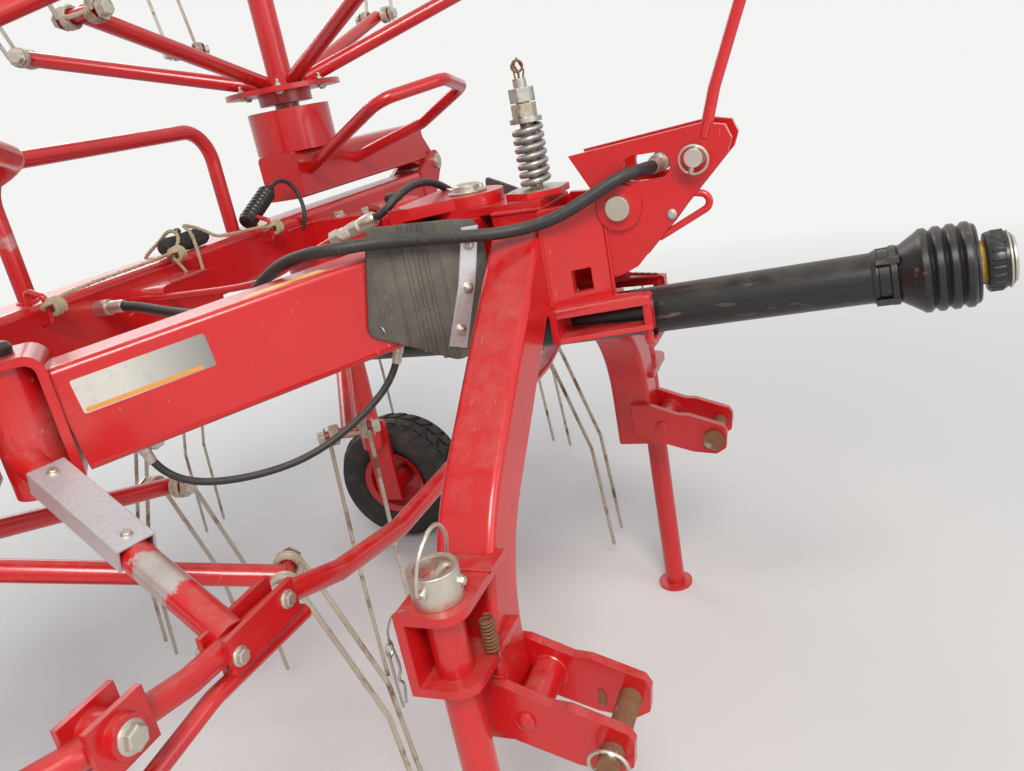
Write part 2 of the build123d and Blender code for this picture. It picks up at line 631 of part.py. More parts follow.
def tyre(x):
    """A low round-shouldered tyre."""
    cx = x + WHEEL_OFFSET
    half = WHEEL_W / 2
    bead = half - 28
    outline = [
        (-bead, RIM_R), (bead, RIM_R), (half - 24, RIM_R + 10), (half - 8, RIM_R + 20), (half, RIM_R + 48),
        (half - 8, WHEEL_R - 18), (half - 26, WHEEL_R - 4), (half - 44, WHEEL_R), (44 - half, WHEEL_R),
        (26 - half, WHEEL_R - 4), (8 - half, WHEEL_R - 18), (-half, RIM_R + 48), (8 - half, RIM_R + 20),
        (24 - half, RIM_R + 10)]
    face = make_face(Polyline(*outline, close=True))
    return Pos(cx, BEAM_Y, WHEEL_R) * revolve(face, Axis.X)


def spider():
    """Hub, disc and tine arms about the upright axis, and the tines as loose solids."""
    hub = rod((0, 0, DISC_Z - HUB_H / 2), (0, 0, DISC_Z + HUB_H / 2), HUB_R)
    hub += rod((0, 0, DISC_Z - DISC_T / 2), (0, 0, DISC_Z + DISC_T / 2), DISC_R)
    half = COIL_LEN / 2
    axis_r = TINE_ARM_REACH + 14
    bar = rod((COLUMN_LEG_R + 12, 0, DISC_Z - 10), (axis_r, 0, TINE_ARM_END_Z), TINE_ARM_R)
    bar += rod((axis_r, -half - 8, TINE_ARM_END_Z), (axis_r, half + 8, TINE_ARM_END_Z), COIL_PIN_R)
    coils = []
    for sign in (-1, 1):
        inner = sign * (TINE_ARM_R + 3)
        outer = sign * half
        ring = rod((axis_r, inner, TINE_ARM_END_Z), (axis_r, outer, TINE_ARM_END_Z), COIL_R)
        start = (axis_r + COIL_R - 7, sign * TINE_SPREAD, TINE_ARM_END_Z - 4)
        knee = (TINE_KNEE[0], sign * TINE_SPREAD, TINE_KNEE[1])
        tip = (TINE_TIP[0], sign * TINE_SPREAD, TINE_TIP[1])
        for a, b in ((start, knee), (knee, tip)):
            direction = Vector(*b) - Vector(*a)
            face = Plane(origin=a, x_dir=(0, 1, 0), z_dir=direction) * RegularPolygon(TINE_R, 6)
            ring += extrude(face, direction.length)
        ring -= rod((axis_r, -half - 1, TINE_ARM_END_Z), (axis_r, half + 1, TINE_ARM_END_Z), COIL_PIN_R + SEAT_GAP)
        coils.append(ring)
    tines = []
    for i in range(ARM_COUNT):
        turn = Rot(0, 0, i * 360 / ARM_COUNT)
        hub += turn * bar
        tines += [turn * coil for coil in coils]
    hub -= rod((0, 0, DISC_Z - 200), (0, 0, DISC_Z + 200), COLUMN_LEG_R + RUN_FIT)
    return hub, Compound(children=tines)


def rotor(x, phase):
    """The arms and the tines of one rotor, turned to their place."""
    place = Pos(x, BEAM_Y, 0) * Rot(0, 0, phase)
    arms, tines = spider()
    return place * arms, place * tines


def guard_rail():
    """The rail in front of both inner rotors with its stays, clamps, forks and lower tubes."""
    half = [(330, RAIL_Y, 656), (480, RAIL_Y, 684), (572, RAIL_Y, 716), (740, RAIL_Y, 727),
            (850, RAIL_Y, 750), (1000, 290, 745), (1120, 450, 735), (ROTOR_X + 525, 640, 780),
            (ROTOR_X + 525, BEAM_Y - 30, 930)]
    points = [(-x, y, z) for x, y, z in reversed(half)] + half
    rail = pipe(points, RAIL_R, 60)
    front = BEAM_Y - BEAM_SIZE / 2
    rail -= block(-BEAM_END_X, BEAM_END_X, front, front + BEAM_SIZE, BEAM_Z - BEAM_SIZE, BEAM_Z + BEAM_SIZE)
    stay = rod(STAY_HEAD, STAY_FOOT, STAY_R)
    clamp_z = STAY_FOOT[2] - 4
    extra = stay + pipe(
        [(CLAMP_X[0] - 25, RAIL_Y, 680), (720, RAIL_Y, 690), (840, 222, 660), (985, 290, 662), (1052, 358, 738)],
        LOW_RAIL_R, 40)
    for side in (-1, 1):
        edges = sorted((RAIL_Y + side * (RAIL_R - 1), RAIL_Y + side * (RAIL_R + CLAMP_T)))
        extra += block(*CLAMP_X, *edges, clamp_z - CLAMP_H / 2, clamp_z + CLAMP_H / 2)
        fork = block(FORK_X - 34, FORK_X + 30, *edges, 722, 778)
        extra += fork
    extra += block(CLAMP_X[1] - 50, CLAMP_X[1] - 5, RAIL_Y - 4, RAIL_Y + 4, 685, clamp_z)
    extra += rod((FORK_X, RAIL_Y - 30, 752), (FORK_X, RAIL_Y + 30, 752), 20)
    return rail + extra + mirror(extra, about=Plane.YZ)


def stay_cover():
    """The galvanised channel over the upper half of a stay, far side."""
    head = Vector(*STAY_HEAD)
    foot = Vector(*STAY_FOOT)
    along = (foot - head).normalized()
    across = Vector(0, 0, 1).cross(along).normalized()
    inner = STAY_R + SEAT_GAP
    top = inner + COVER_WALL
    outline = [(-top, -COVER_LIP), (-top, top), (top, top), (top, -COVER_LIP),
               (inner, -COVER_LIP), (inner, inner), (-inner, inner), (-inner, -COVER_LIP)]
    face = Plane(origin=head + along * COVER_START, x_dir=across, z_dir=along) * make_face(
        Polyline(*outline, close=True))
    return extrude(face, COVER_LEN)


def wing_guard():
    """The bent tube in front of an outer rotor, in work position on the far side."""
    front = BEAM_Y - BEAM_SIZE / 2
    x = HINGE_X + ROTOR_X
    tube = pipe([(x - 170, front + 20, 960), (x - 190, 620, 900), (x - 150, 470, 830), (x + 60, 420, 810),
                 (x + 190, 520, 830), (x + 40, front + 20, 960)], WING_RAIL_R, 50)
    return tube - block(x - ROTOR_X, x + ROTOR_X, front, front + BEAM_SIZE, BEAM_Z - BEAM_SIZE, BEAM_Z + BEAM_SIZE)


def tilted(part):
    """A piece of the shaft's front half, raised about the joint's ball into the hook."""
    return Pos(0, PIVOT_Y, SHAFT_Z) * (Rot(-SHAFT_TILT, 0, 0) * (Pos(0, -PIVOT_Y, -SHAFT_Z) * part))


def hose_ends(arms):
    """The nut that the upper hose leaves the beam by, and the lower hose's nipples under the arm."""
    x, y, z = HOSE_POINTS[0]
    front = BEAM_Y - BEAM_SIZE / 2
    ends = [rod((x, y, z), (x, front, z), COUPLING_R + 2)]
    for end, before in ((LOW_HOSE_POINTS[0], LOW_HOSE_POINTS[1]), (LOW_HOSE_POINTS[-1], LOW_HOSE_POINTS[-2])):
        out = (Vector(*end) - Vector(*before)).normalized()
        ends.append(rod(end, Vector(*end) + out * 30, LOW_HOSE_R + 3) - arms)
    return Compound(children=ends)


def hose_coupling():
    """The capped coupling on the upper hose, parked in the far mast plate's slot."""
    x, y, z = HOSE_POINTS[-1]
    return rod((x, y, z), (x + 44, y, z), COUPLING_R) + rod((x + 44, y, z), (x + 64, y, z), COUPLING_R + 3)


def folded(part):
    """A wing piece turned over about its hinge into the parked position."""
    return Pos(HINGE_X, 0, HINGE_Z) * (Rot(0, 180, 0) * (Pos(-HINGE_X, 0, -HINGE_Z) * part))


def pair(part):
    """A far side piece and its mirror image, as one node."""
    return Compound(children=[part, mirror(part, about=Plane.YZ)])


point = nose()
side_bar, side_column = arm(point)
arms = pair(side_bar)
columns = pair(side_column)
beam = main_beam()
legs = arch()
plates = mast()
loop, riser = hose_guide()
rubber, strip = flap()
stack, coil = brake_spring()
parts = {
    "arch": legs,
    "mast_plates": plates,
    "top_link_pin": top_link_pin(),
    "mast_cross_pin": mast_cross_pin(),
    "hose_guide": Compound(children=[loop - plates, riser - plates]),
    "tray": pair(tray()) + shaft_hook(),
    "lower_lug": lug_plate(NOSE_LOW_Z - LUG_T, LEG_Y + LEG_SIZE / 2),
    "upper_lug": lug_plate(NOSE_HIGH_Z, LEG_Y - LEG_SIZE / 2 + 2),
    "flaps": pair(rubber),
    "flap_strips": pair(strip),
    "clevises": pair(clevis()),
    "hitch_pins": pair(hitch_pin()),
    "stand_brackets": pair(stand_bracket(legs)),
    "side_arms": arms,
    "columns": columns,
    "hinge_pins": pair(hinge_pin()),
    "inner_guards": guard_rail() - columns,
    "stay_covers": pair(stay_cover()),
    "main_hose": cord(HOSE_POINTS, HOSE_R),
    "low_hose": cord(LOW_HOSE_POINTS, LOW_HOSE_R),
    "hose_ends": hose_ends(arms),
    "hose_coupling": hose_coupling(),
    "gearcases_inner": pair(gearcase(ROTOR_X) + axle_cap(ROTOR_X)),
    "swivel_pin": swivel_pin(),
    "shaft_guard": tilted(shaft_guard()),
    "shaft_yoke": tilted(shaft_yoke()),
    "rear_shaft": rear_shaft(),
    "nose": point,
    "main_beam": beam,
    "hoop": hoop(),
    "rope_hooks": rope_hooks() - beam,
    "gearbox": gearbox(),
    "brake_rod": stack,
    "brake_spring": coil,
}
for name, sign in SIDES:
    parts["stand_" + name] = mirrored(stand(), sign)
    parts["stand_collar_" + name] = mirrored(stand_collar(), sign)
    parts["wing_beam_" + name] = mirrored(folded(wing_beam()), sign)
    parts["wing_guard_" + name] = mirrored(folded(wing_guard()), sign)
    for place, x, turn in (("inner", ROTOR_X, lambda p: p), ("outer", HINGE_X + ROTOR_X, folded)):
        phase = 0.0 if (name == "near") == (place == "inner") else 180.0 / ARM_COUNT
        arms, tines = rotor(x, phase)
        tag = name + "_" + place
        if place == "outer":
            parts["gearcase_" + tag] = mirrored(turn(gearcase(x) + axle_cap(x)), sign)
        parts["rim_" + tag] = mirrored(turn(rim(x)), sign)
        parts["tyre_" + tag] = mirrored(turn(tyre(x)), sign)
        parts["rotor_" + tag] = mirrored(turn(arms), sign)
        parts["tines_" + tag] = mirrored(turn(tines), sign)

boxes = [part.bounding_box() for part in parts.values()]
front_y = min(box.min.Y for box in boxes)
rear_y = max(box.max.Y for box in boxes)
middle_y = (front_y + rear_y) / 2
print("origin lies at y =", round(middle_y, 3), "of the hitch layout")

os.makedirs("parts", exist_ok=True)
for name, part in parts.items():
    export_step(Pos(0, -middle_y, 0) * part, "parts/" + name + ".step")
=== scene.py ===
import json
import math

import bmesh
import bpy
from bpy.props import FloatProperty, FloatVectorProperty, IntProperty, PointerProperty
from bpy.types import Operator, Panel, PropertyGroup
from mathutils import Matrix, Vector


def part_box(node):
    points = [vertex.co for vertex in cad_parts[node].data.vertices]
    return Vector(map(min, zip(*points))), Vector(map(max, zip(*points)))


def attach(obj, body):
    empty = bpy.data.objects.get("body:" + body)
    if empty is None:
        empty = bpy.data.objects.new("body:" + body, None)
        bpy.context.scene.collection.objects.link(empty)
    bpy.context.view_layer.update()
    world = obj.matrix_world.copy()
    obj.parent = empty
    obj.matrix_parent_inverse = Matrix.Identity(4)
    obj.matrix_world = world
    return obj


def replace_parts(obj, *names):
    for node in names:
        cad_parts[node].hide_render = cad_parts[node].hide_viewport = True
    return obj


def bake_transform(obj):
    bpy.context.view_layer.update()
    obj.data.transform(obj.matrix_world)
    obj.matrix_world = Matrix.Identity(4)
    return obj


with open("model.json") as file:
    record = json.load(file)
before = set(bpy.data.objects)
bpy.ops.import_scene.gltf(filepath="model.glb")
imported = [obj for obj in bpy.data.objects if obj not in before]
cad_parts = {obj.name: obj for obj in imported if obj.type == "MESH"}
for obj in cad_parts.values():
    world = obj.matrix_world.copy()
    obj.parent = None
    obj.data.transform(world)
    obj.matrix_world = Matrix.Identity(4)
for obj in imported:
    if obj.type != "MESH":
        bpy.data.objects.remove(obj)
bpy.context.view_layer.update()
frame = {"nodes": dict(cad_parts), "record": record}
NODES = frame["nodes"]

# The hitch's layout: millimetres, x to the far side, y to the rear, z up from the floor
MM = 0.001
ACROSS = (1, 0, 0)
UP = (0, 0, 1)
DIAGONAL = math.sqrt(0.5)
NEAR_OUT = Vector((-DIAGONAL, -DIAGONAL, 0))
SIDES = {"near": -1, "far": 1}
PIVOT_Y = 150.0  # the swivel's axis
PIN_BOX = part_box("swivel_pin")
SHIFT = PIVOT_Y * MM - (PIN_BOX[0].y + PIN_BOX[1].y) / 2
TO_FRAME = Matrix.Translation((0, -SHIFT, 0)) @ Matrix.Scale(MM, 4)
MIRROR = Matrix.Scale(-1, 4, ACROSS)
WELD_R = 3.2
SHARP_ANGLE = math.radians(38)

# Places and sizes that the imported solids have, on the far side where there are two
HITCH = (435.0, -118.0, 455.0)  # middle of the lower pin
CHEEK_IN = 39.0  # from there to the cheeks' welds
CHEEK_OUT = 54.0  # and to their outer faces
CLEVIS_PIN = (-13.0, 485.0)  # y and z of the clevis's second pin
TOP_PIN = (46.0, -214.0, 1075.0)  # end of the top link's pin
SMEAR = (-396.0, -79.0, 450.0)  # rusty patch in the near clevis
STAND = (530.0, 40.0, 712.0)  # upper end of the stand's tube
SPRING_TOP = 1215.0  # height of the brake spring
SHAFT_Z = 833.0  # height of the drive shaft at the swivel
SHAFT_TILT = math.radians(3.8)
GUARD_FRONT = -460.0  # y of the guard tube's end, the bell's rim and the yoke's end
BELL_RIM = -553.5
YOKE_FRONT = -600.0
BEAM_Y = 880.0
HOOP_X = 44.0  # middle of the hoop on the beam, and its half width
HOOP_HALF = 275.0
HINGE = (1290.0, 1030.0)  # x and z of the wing's hinge
ROTOR_X = 645.0
DISC_Z = 760.0
ARM_COUNT = 6
RAIL_Y = 205.0  # the inner guard rails
COVER_R = 23.3  # the stays' galvanised covers
WHEEL_R = 185.0
WHEEL_W = 150.0
WHEEL_OFFSET = 112.0
RIM_R = 88.0
FLAP_BACK = 7.7  # from the diagonal plane to the flap's back
FLAP_T = 5.0
FLAP_FRONT = FLAP_BACK + FLAP_T
STRIP_T = 3.0
BEND_START = 93.0  # y where the flaps leave the headstock, and where they reach the frame
BEND_END = 150.0

HOSE_POINTS = [
    (-150, 795, 975), (-150, 748, 975), (-160, 660, 958), (-180, 560, 950), (-208, 455, 970),
    (-240, 372, 1022), (-262, 300, 1042), (-264, 242, 1045), (-233, 191, 1042), (-178, 136, 1030),
    (-136, 90, 1018), (-110, 38, 1014), (-97, -20, 1022), (-76, -74, 1046), (-62, -110, 1063),
    (-34, -140, 1066), (-2, -144, 1063.3), (20, -144, 1063.3)]
LOW_HOSE_POINTS = [
    (-444, 494, 834), (-440, 490, 806), (-412, 462, 768), (-356, 406, 750), (-296, 346, 752),
    (-238, 288, 784), (-190, 240, 832), (-181, 231, 868)]
BOOT_HOSE_POINTS = [
    (450, 850, 1087), (462, 850, 1093), (488, 846, 1100), (512, 836, 1088), (518, 824, 1056),
    (512, 815, 1024), (504, 817, 996), (500, 828, 976)]
TONGUE_HOSE_POINTS = [
    (-60, 285, 1054), (-58, 268, 1061), (-40, 254, 1078), (-4, 240, 1090), (44, 232, 1086),
    (92, 226, 1064), (112, 220, 1046), (122, 208, 1030)]
BEAM_ROPE_POINTS = [
    (-262, 799, 1011), (-240, 806, 1019), (-150, 812, 1022), (-40, 814, 1023), (49, 816, 1024),
    (78, 818, 1036), (92, 824, 1058), (96, 850, 1064), (100, 880, 1046), (104, 925, 1024),
    (106, 943, 1012), (108, 944, 960), (110, 942, 912), (111, 925, 896), (113, 880, 896), (115, 835, 896),
    (117, 816, 912), (120, 816, 960), (124, 818, 1010), (128, 824, 1052), (134, 846, 1064),
    (150, 850, 1062), (170, 832, 1048), (190, 818, 1026), (240, 814, 1022), (320, 806, 1019),
    (352, 799, 1011)]
TOGGLE_ROPE_POINTS = [(46, 812, 1018), (52, 806, 1002), (66, 800, 970), (84, 798, 936), (92, 798, 918)]

bl_info = {
    "name": "Hay Tedder",
    "version": (1, 0, 0),
    "blender": (4, 5, 0),
    "location": "3D View > Sidebar > Tedder",
    "description": "Finishes, hoses and small parts of a folding hay tedder",
    "category": "Object",
}


def at(x, y, z):
    """A place of the hitch's layout as a point of the frame, in metres."""
    return TO_FRAME @ Vector((x, y, z))


def flowing(points, steps=6):
    """Points on a smooth line through the given ones."""
    given = [Vector(p) for p in points]
    given = [2 * given[0] - given[1], *given, 2 * given[-1] - given[-2]]
    line = []
    for a, b, c, d in zip(given, given[1:], given[2:], given[3:]):
        for i in range(steps):
            t = i / steps
            line.append((2 * b + (c - a) * t + (2 * a - 5 * b + 4 * c - d) * t * t
                         + (3 * b - a - 3 * c + d) * t ** 3) / 2)
    return line + [given[-2]]


def squared(axis):
    """An axis of length one, and two directions square to it and to each other."""
    axis = Vector(axis).normalized()
    side = axis.orthogonal().normalized()
    return axis, side, axis.cross(side)


def around(side, across, angle):
    """The direction at an angle from one direction towards another."""
    return side * math.cos(angle) + across * math.sin(angle)


def ring_of(centre, side, across, radius, sides):
    """The points of a circle."""
    return [centre + around(side, across, math.tau * k / sides) * radius for k in range(sides)]


def winding(centre, axis, radius, turns=1.0, rise=0.0, per_turn=24):
    """Points of a coil about an axis, or of a ring where it doesn't rise."""
    axis, side, across = squared(axis)
    count = round(turns * per_turn)
    line = []
    for i in range(count + 1 if rise else count):
        out = around(side, across, math.tau * i / per_turn) * radius
        line.append(Vector(centre) + out + axis * rise * i / count)
    return line


def rounded(outline, radius):
    """A flat outline with its corners rounded off."""
    steps = 5
    outline = [Vector(p) for p in outline]
    made = []
    for i, corner in enumerate(outline):
        start = corner + (outline[i - 1] - corner).normalized() * radius
        end = corner + (outline[(i + 1) % len(outline)] - corner).normalized() * radius
        for k in range(steps + 1):
            t = k / steps
            made.append(start * (1 - t) ** 2 + corner * 2 * t * (1 - t) + end * t * t)
    return made


class Shape:
    """One piece, built up in the hitch's layout from turned, bent and flat parts."""

    def __init__(self, name, look, body, slot=None):
        self.name = name
        self.look = look
        self.body = body
        self.slot = slot or look
        self.mesh = bmesh.new()

    def skin(self, rings, closed=False):
        """Rings of as many points each, joined in their order and capped unless closed."""
        rows = [[self.mesh.verts.new(p) for p in ring] for ring in rings]
        following = rows[1:] + rows[:1] if closed else rows[1:]
        for row, beyond in zip(rows, following):
            for i in range(len(row)):
                self.mesh.faces.new((row[i - 1], row[i], beyond[i], beyond[i - 1]))
        if not closed:
            self.mesh.faces.new(rows[0])
            self.mesh.faces.new(rows[-1][::-1])
        return self

    def turned(self, start, axis, profile, sides=28, closed=False):
        """A turned part whose profile is (distance along the axis, radius)."""
        axis, side, across = squared(axis)
        rings = [ring_of(Vector(start) + axis * along, side, across, radius, sides)
                 for along, radius in profile]
        return self.skin(rings, closed)

    def bent(self, points, radius, sides=10, closed=False, ripple=0.0):
        """A round wire or tube through points, with ripples like a weld's where asked."""
        points = [Vector(p) for p in points]
        count = len(points)
        side = None
        rings = []
        for i, point in enumerate(points):
            before = points[i - 1] if i or closed else point
            beyond = points[(i + 1) % count] if i < count - 1 or closed else point
            along = (beyond - before).normalized()
            if side is None:
                side = along.orthogonal()
            side = (side - along * side.dot(along)).normalized()
            across = along.cross(side)
            rings.append(ring_of(point, side, across, radius * (1 + ripple * math.sin(i * 2.1)), sides))
        return self.skin(rings, closed)

    def slab(self, outline, rise, edge):
        """A flat part of a given outline, raised along a vector, with its upper edge broken."""
        outline = [Vector(p) for p in outline]
        rise = Vector(rise)
        middle = sum(outline, Vector()) / len(outline)
        lid = [p + rise + (middle - p).normalized() * edge for p in outline]
        shoulder = [p + rise * max(0.0, 1 - edge / rise.length) for p in outline]
        return self.skin([outline, shoulder, lid])

    def bolt(self, seat, axis, size, thread=0.0):
        """A washer, a hexagon head and, where asked, the thread that stands out past a nut."""
        seat = Vector(seat)
        axis = Vector(axis).normalized()
        self.turned(seat, axis, [(-0.4, size * 1.2), (size * 0.13, size * 1.2), (size * 0.17, size * 1.14)])
        self.turned(seat + axis * size * 0.17, axis, [
            (0, size * 0.95), (size * 0.5, size * 0.95), (size * 0.62, size * 0.82)], sides=6)
        if thread:
            self.turned(seat, axis, [(0, size * 0.5), (thread - 1, size * 0.5), (thread, size * 0.4)],
                        sides=16)
        return self

    def weld(self, points):
        """A rippled bead along points."""
        line = [Vector(p) for p in points]
        beads = [line[0]]
        for a, b in zip(line, line[1:]):
            count = max(2, round((b - a).length / 4))
            beads += [a.lerp(b, k / count) for k in range(1, count + 1)]
        return self.bent(beads, WELD_R, 8, ripple=0.16)

    def everything(self):
        """All of the mesh, as its tools want it."""
        return self.mesh.verts[:] + self.mesh.edges[:] + self.mesh.faces[:]

    def cut(self, y):
        """Split the faces along an upright plane across the machine."""
        bmesh.ops.bisect_plane(self.mesh, geom=self.everything(), plane_co=(0, y, 0), plane_no=(0, 1, 0))

    def done(self, both=False, move=None, ride=True):
        """The finished object: moved, doubled across the middle where asked, and set on its body."""
        if move is not None:
            self.mesh.transform(move)
        if both:
            twin = bmesh.ops.duplicate(self.mesh, geom=self.everything())
            bmesh.ops.transform(self.mesh, matrix=MIRROR,
                                verts=[v for v in twin["geom"] if isinstance(v, bmesh.types.BMVert)])
        bmesh.ops.recalc_face_normals(self.mesh, faces=self.mesh.faces)
        self.mesh.transform(TO_FRAME)
        data = bpy.data.meshes.new(self.name)
        self.mesh.to_mesh(data)
        self.mesh.free()
        data.shade_smooth()
        data.set_sharp_from_angle(angle=SHARP_ANGLE)
        data.materials.append(finish(self.look))
        made = bpy.data.objects.new(self.name, data)
        bpy.context.scene.collection.objects.link(made)
        if ride:
            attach(made, self.body)
        return made


class Wire:
    """A shader socket that can be used in Python expressions."""

    def __init__(self, finish, socket):
        self.finish = finish
        self.socket = socket

    def __add__(self, other):
        return self.finish.math("ADD", self, other)

    def __sub__(self, other):
        return self.finish.math("SUBTRACT", self, other)

    def __mul__(self, other):
        return self.finish.math("MULTIPLY", self, other)

    def __rsub__(self, other):
        return self.finish.math("SUBTRACT", other, self)

    __radd__ = __add__
    __rmul__ = __mul__

    def between(self, low, high):
        """0 below low and 1 above high, straight between them."""
        return self.finish.node("ShaderNodeMapRange", {"clamp": True}, self, low, high, 0.0, 1.0)

    def mix(self, a, b):
        """Colour a where this is 0, and b where it is 1."""
        return self.finish.colour(self, a, b)


class Finish:
    """One material, made of a Principled shader and the nodes that feed it."""

    def __init__(self, name):
        self.material = bpy.data.materials.new(name)
        self.material.use_nodes = True
        self.tree = self.material.node_tree
        self.shader = self.tree.nodes["Principled BSDF"]
        self.place = self.node("ShaderNodeTexCoord", {}, output="Object")

    def node(self, kind, settings, *values, output=0):
        """A new node with its settings and its first inputs, as the wire of one output."""
        made = self.tree.nodes.new(kind)
        for key, value in settings.items():
            setattr(made, key, value)
        for socket, value in zip(made.inputs, values):
            self.join(value, socket)
        return Wire(self, made.outputs[output])

    def math(self, operation, *values):
        """What a sum of wires and numbers comes to."""
        return self.node("ShaderNodeMath", {"operation": operation}, *values)

    def join(self, value, socket):
        """Feed a socket from a wire, or set it to a colour, a vector or a number."""
        if isinstance(value, Wire):
            self.tree.links.new(value.socket, socket)
        elif hasattr(value, "__len__") and socket.type == "RGBA":
            socket.default_value = (*value[:3], 1.0)
        elif hasattr(value, "__len__"):
            socket.default_value = value[:3]
        else:
            socket.default_value = value

    def colour(self, share, a, b):
        """A colour from a to b by a share from 0 to 1."""
        made = self.tree.nodes.new("ShaderNodeMix")
        made.data_type = "RGBA"
        self.join(share, made.inputs[0])
        self.join(a, made.inputs[6])
        self.join(b, made.inputs[7])
        return Wire(self, made.outputs[2])

    def noise(self, scale, detail=4.0, rough=0.55, place=None):
        """Cloudy grey between 0 and 1, where scale sets how many clouds a metre holds."""
        made = self.tree.nodes.new("ShaderNodeTexNoise")
        self.join(place or self.place, made.inputs["Vector"])
        made.inputs["Scale"].default_value = scale
        made.inputs["Detail"].default_value = detail
        made.inputs["Roughness"].default_value = rough
        return Wire(self, made.outputs["Fac"])

    def number(self, value):
        """A plain number that expressions can build on."""
        return self.math("ADD", value, 0.0)

    def cells(self, scale):
        """A different grey for each crystal of a given size."""
        made = self.tree.nodes.new("ShaderNodeTexVoronoi")
        self.join(self.place, made.inputs["Vector"])
        made.inputs["Scale"].default_value = scale
        return self.math("FRACT", Wire(self, made.outputs["Color"]) * 3.7)

    def distance(self, point):
        """How far a place is from a point, in metres."""
        return self.node("ShaderNodeVectorMath", {"operation": "DISTANCE"}, self.place, tuple(point),
                         output="Value")

    def stretched(self, x, y, z):
        """Places whose noise is drawn out along the axes that have small numbers."""
        made = self.tree.nodes.new("ShaderNodeMapping")
        self.join(self.place, made.inputs["Vector"])
        made.inputs["Scale"].default_value = (x, y, z)
        return Wire(self, made.outputs[0])

    def normal(self, height, strength, distance, edge=0.0):
        """Bumps from a height, over edges that look rounded by a given radius."""
        made = self.tree.nodes.new("ShaderNodeBump")
        if edge:
            soft = self.tree.nodes.new("ShaderNodeBevel")
            soft.samples = 3
            soft.inputs["Radius"].default_value = edge
            self.tree.links.new(soft.outputs[0], made.inputs["Normal"])
        made.inputs["Strength"].default_value = strength
        made.inputs["Distance"].default_value = distance
        self.join(height, made.inputs["Height"])
        self.join(Wire(self, made.outputs[0]), self.shader.inputs["Normal"])

    def axis(self, name):
        """One coordinate of a place, in metres."""
        return self.node("ShaderNodeSeparateXYZ", {}, self.place, output=name)

    def facing_up(self):
        """1 on surfaces that face up, 0 on upright ones and undersides."""
        normal = self.node("ShaderNodeNewGeometry", {}, output="Normal")
        return self.node("ShaderNodeSeparateXYZ", {}, normal, output="Z").between(0.2, 0.9)

    def set(self, **values):
        """Set the shader's named values."""
        names = {"color": "Base Color", "rough": "Roughness", "metal": "Metallic", "coat": "Coat Weight",
                 "coat_rough": "Coat Roughness", "level": "Specular IOR Level"}
        for key, value in values.items():
            self.join(value, self.shader.inputs[names[key]])


# Worn places on the paint: place in the hitch's layout, reach in millimetres, how bare, how faded
WORN = (
    ((-640, 310, 771), 78, 1.0, 0.0),
    ((640, 310, 771), 60, 1.0, 0.0),
    ((-533, 582, 905), 70, 0.55, 0.7),
    ((-500, 548, 905), 62, 0.15, 0.8),
    ((-231, 880, 1120), 42, 0.5, 0.6),
    ((-435, -110, 470), 34, 0.5, 0.6),
    ((435, -110, 470), 30, 0.5, 0.6),
    ((0, 150, 1064), 60, 0.2, 0.3),
)


RUST = (0.20, 0.10, 0.05)
BRAKE_PLATE_TOP = (1.0555, 1.0560)


def red_paint(f, look):
    """Glossy red enamel, faded and rubbed bare in places, with chips, scratches and dust."""
    patch = f.noise(4.0, 3.0)
    red = patch.mix(look.red_dark, look.red)
    ragged = f.noise(42.0, 6.0, 0.7)
    bare = f.number(0.0)
    faded = f.number(0.0)
    for place, reach, how_bare, how_faded in WORN:
        close = 1 - f.distance(at(*place)).between(0.0, reach * MM)
        if how_bare:
            bare = bare + (close * 1.5 + ragged - 1.25).between(0.0, 0.12) * how_bare
        if how_faded:
            faded = faded + close.between(0.0, 0.7) * ragged.between(0.25, 0.75) * how_faded
    chip = f.noise(95.0, 6.0, 0.7).between(0.69, 0.73) * f.noise(7.0, 3.0).between(0.50, 0.60)
    fleck = f.noise(330.0, 2.0, 0.5).between(0.74, 0.78) * f.noise(13.0, 3.0).between(0.5, 0.62) * 0.7
    scratch = f.noise(60.0, 2.0, 0.5, f.stretched(0.25, 6.0, 1.0)).between(0.735, 0.76)
    dust = (f.facing_up() * f.noise(34.0, 6.0, 0.65)).between(0.34, 0.9) * 0.38
    grime = (f.noise(9.0, 5.0, 0.6) * f.noise(60.0, 4.0, 0.6)).between(0.30, 0.46) * 0.30
    red = grime.mix(red, look.grime)
    red = dust.mix(red, look.dust)
    red = (faded.between(0.0, 1.0) * 0.55).mix(red, look.faded)
    red = (scratch * 0.45 + fleck).mix(red, look.scratch)
    red = chip.mix(red, look.primer)
    bare = bare.between(0.0, 1.0)
    red = bare.mix(red, ragged.mix(look.steel_dull, look.steel))
    rough = 0.25 + dust * 0.4 + chip * 0.35 + patch * 0.07 + faded * 0.18 + grime * 0.4 + bare * 0.1
    f.set(color=red, rough=rough, metal=bare * 0.75, coat=0.4, coat_rough=0.10)
    f.normal(f.noise(26.0, 3.0) * 0.5 - chip * 0.6 - bare * 0.3 - fleck * 0.3, 0.2, 0.0015, look.edge)


def brake_mix(f, look):
    """The red hexagonal plate and the zinc rod, washer and nuts above it."""
    above = f.axis("Z").between(*BRAKE_PLATE_TOP)
    stain = f.noise(55.0, 5.0, 0.6)
    steel = stain.mix((0.30, 0.27, 0.23), (0.70, 0.68, 0.62))
    yellowed = f.axis("Z").between(1.1600, 1.1800) - f.axis("Z").between(1.1810, 1.1815)
    steel = (yellowed * 0.5).mix(steel, (0.55, 0.42, 0.20))
    rust = f.noise(30.0, 6.0, 0.7).between(0.55, 0.66)
    steel = rust.mix(steel, RUST)
    f.set(color=above.mix(look.red, steel), rough=0.27 + above * 0.15 + rust * 0.25,
          metal=above * (1 - rust) * 0.95, coat=0.2, coat_rough=0.12)
    f.normal(stain, 0.15, 0.0008, look.edge)


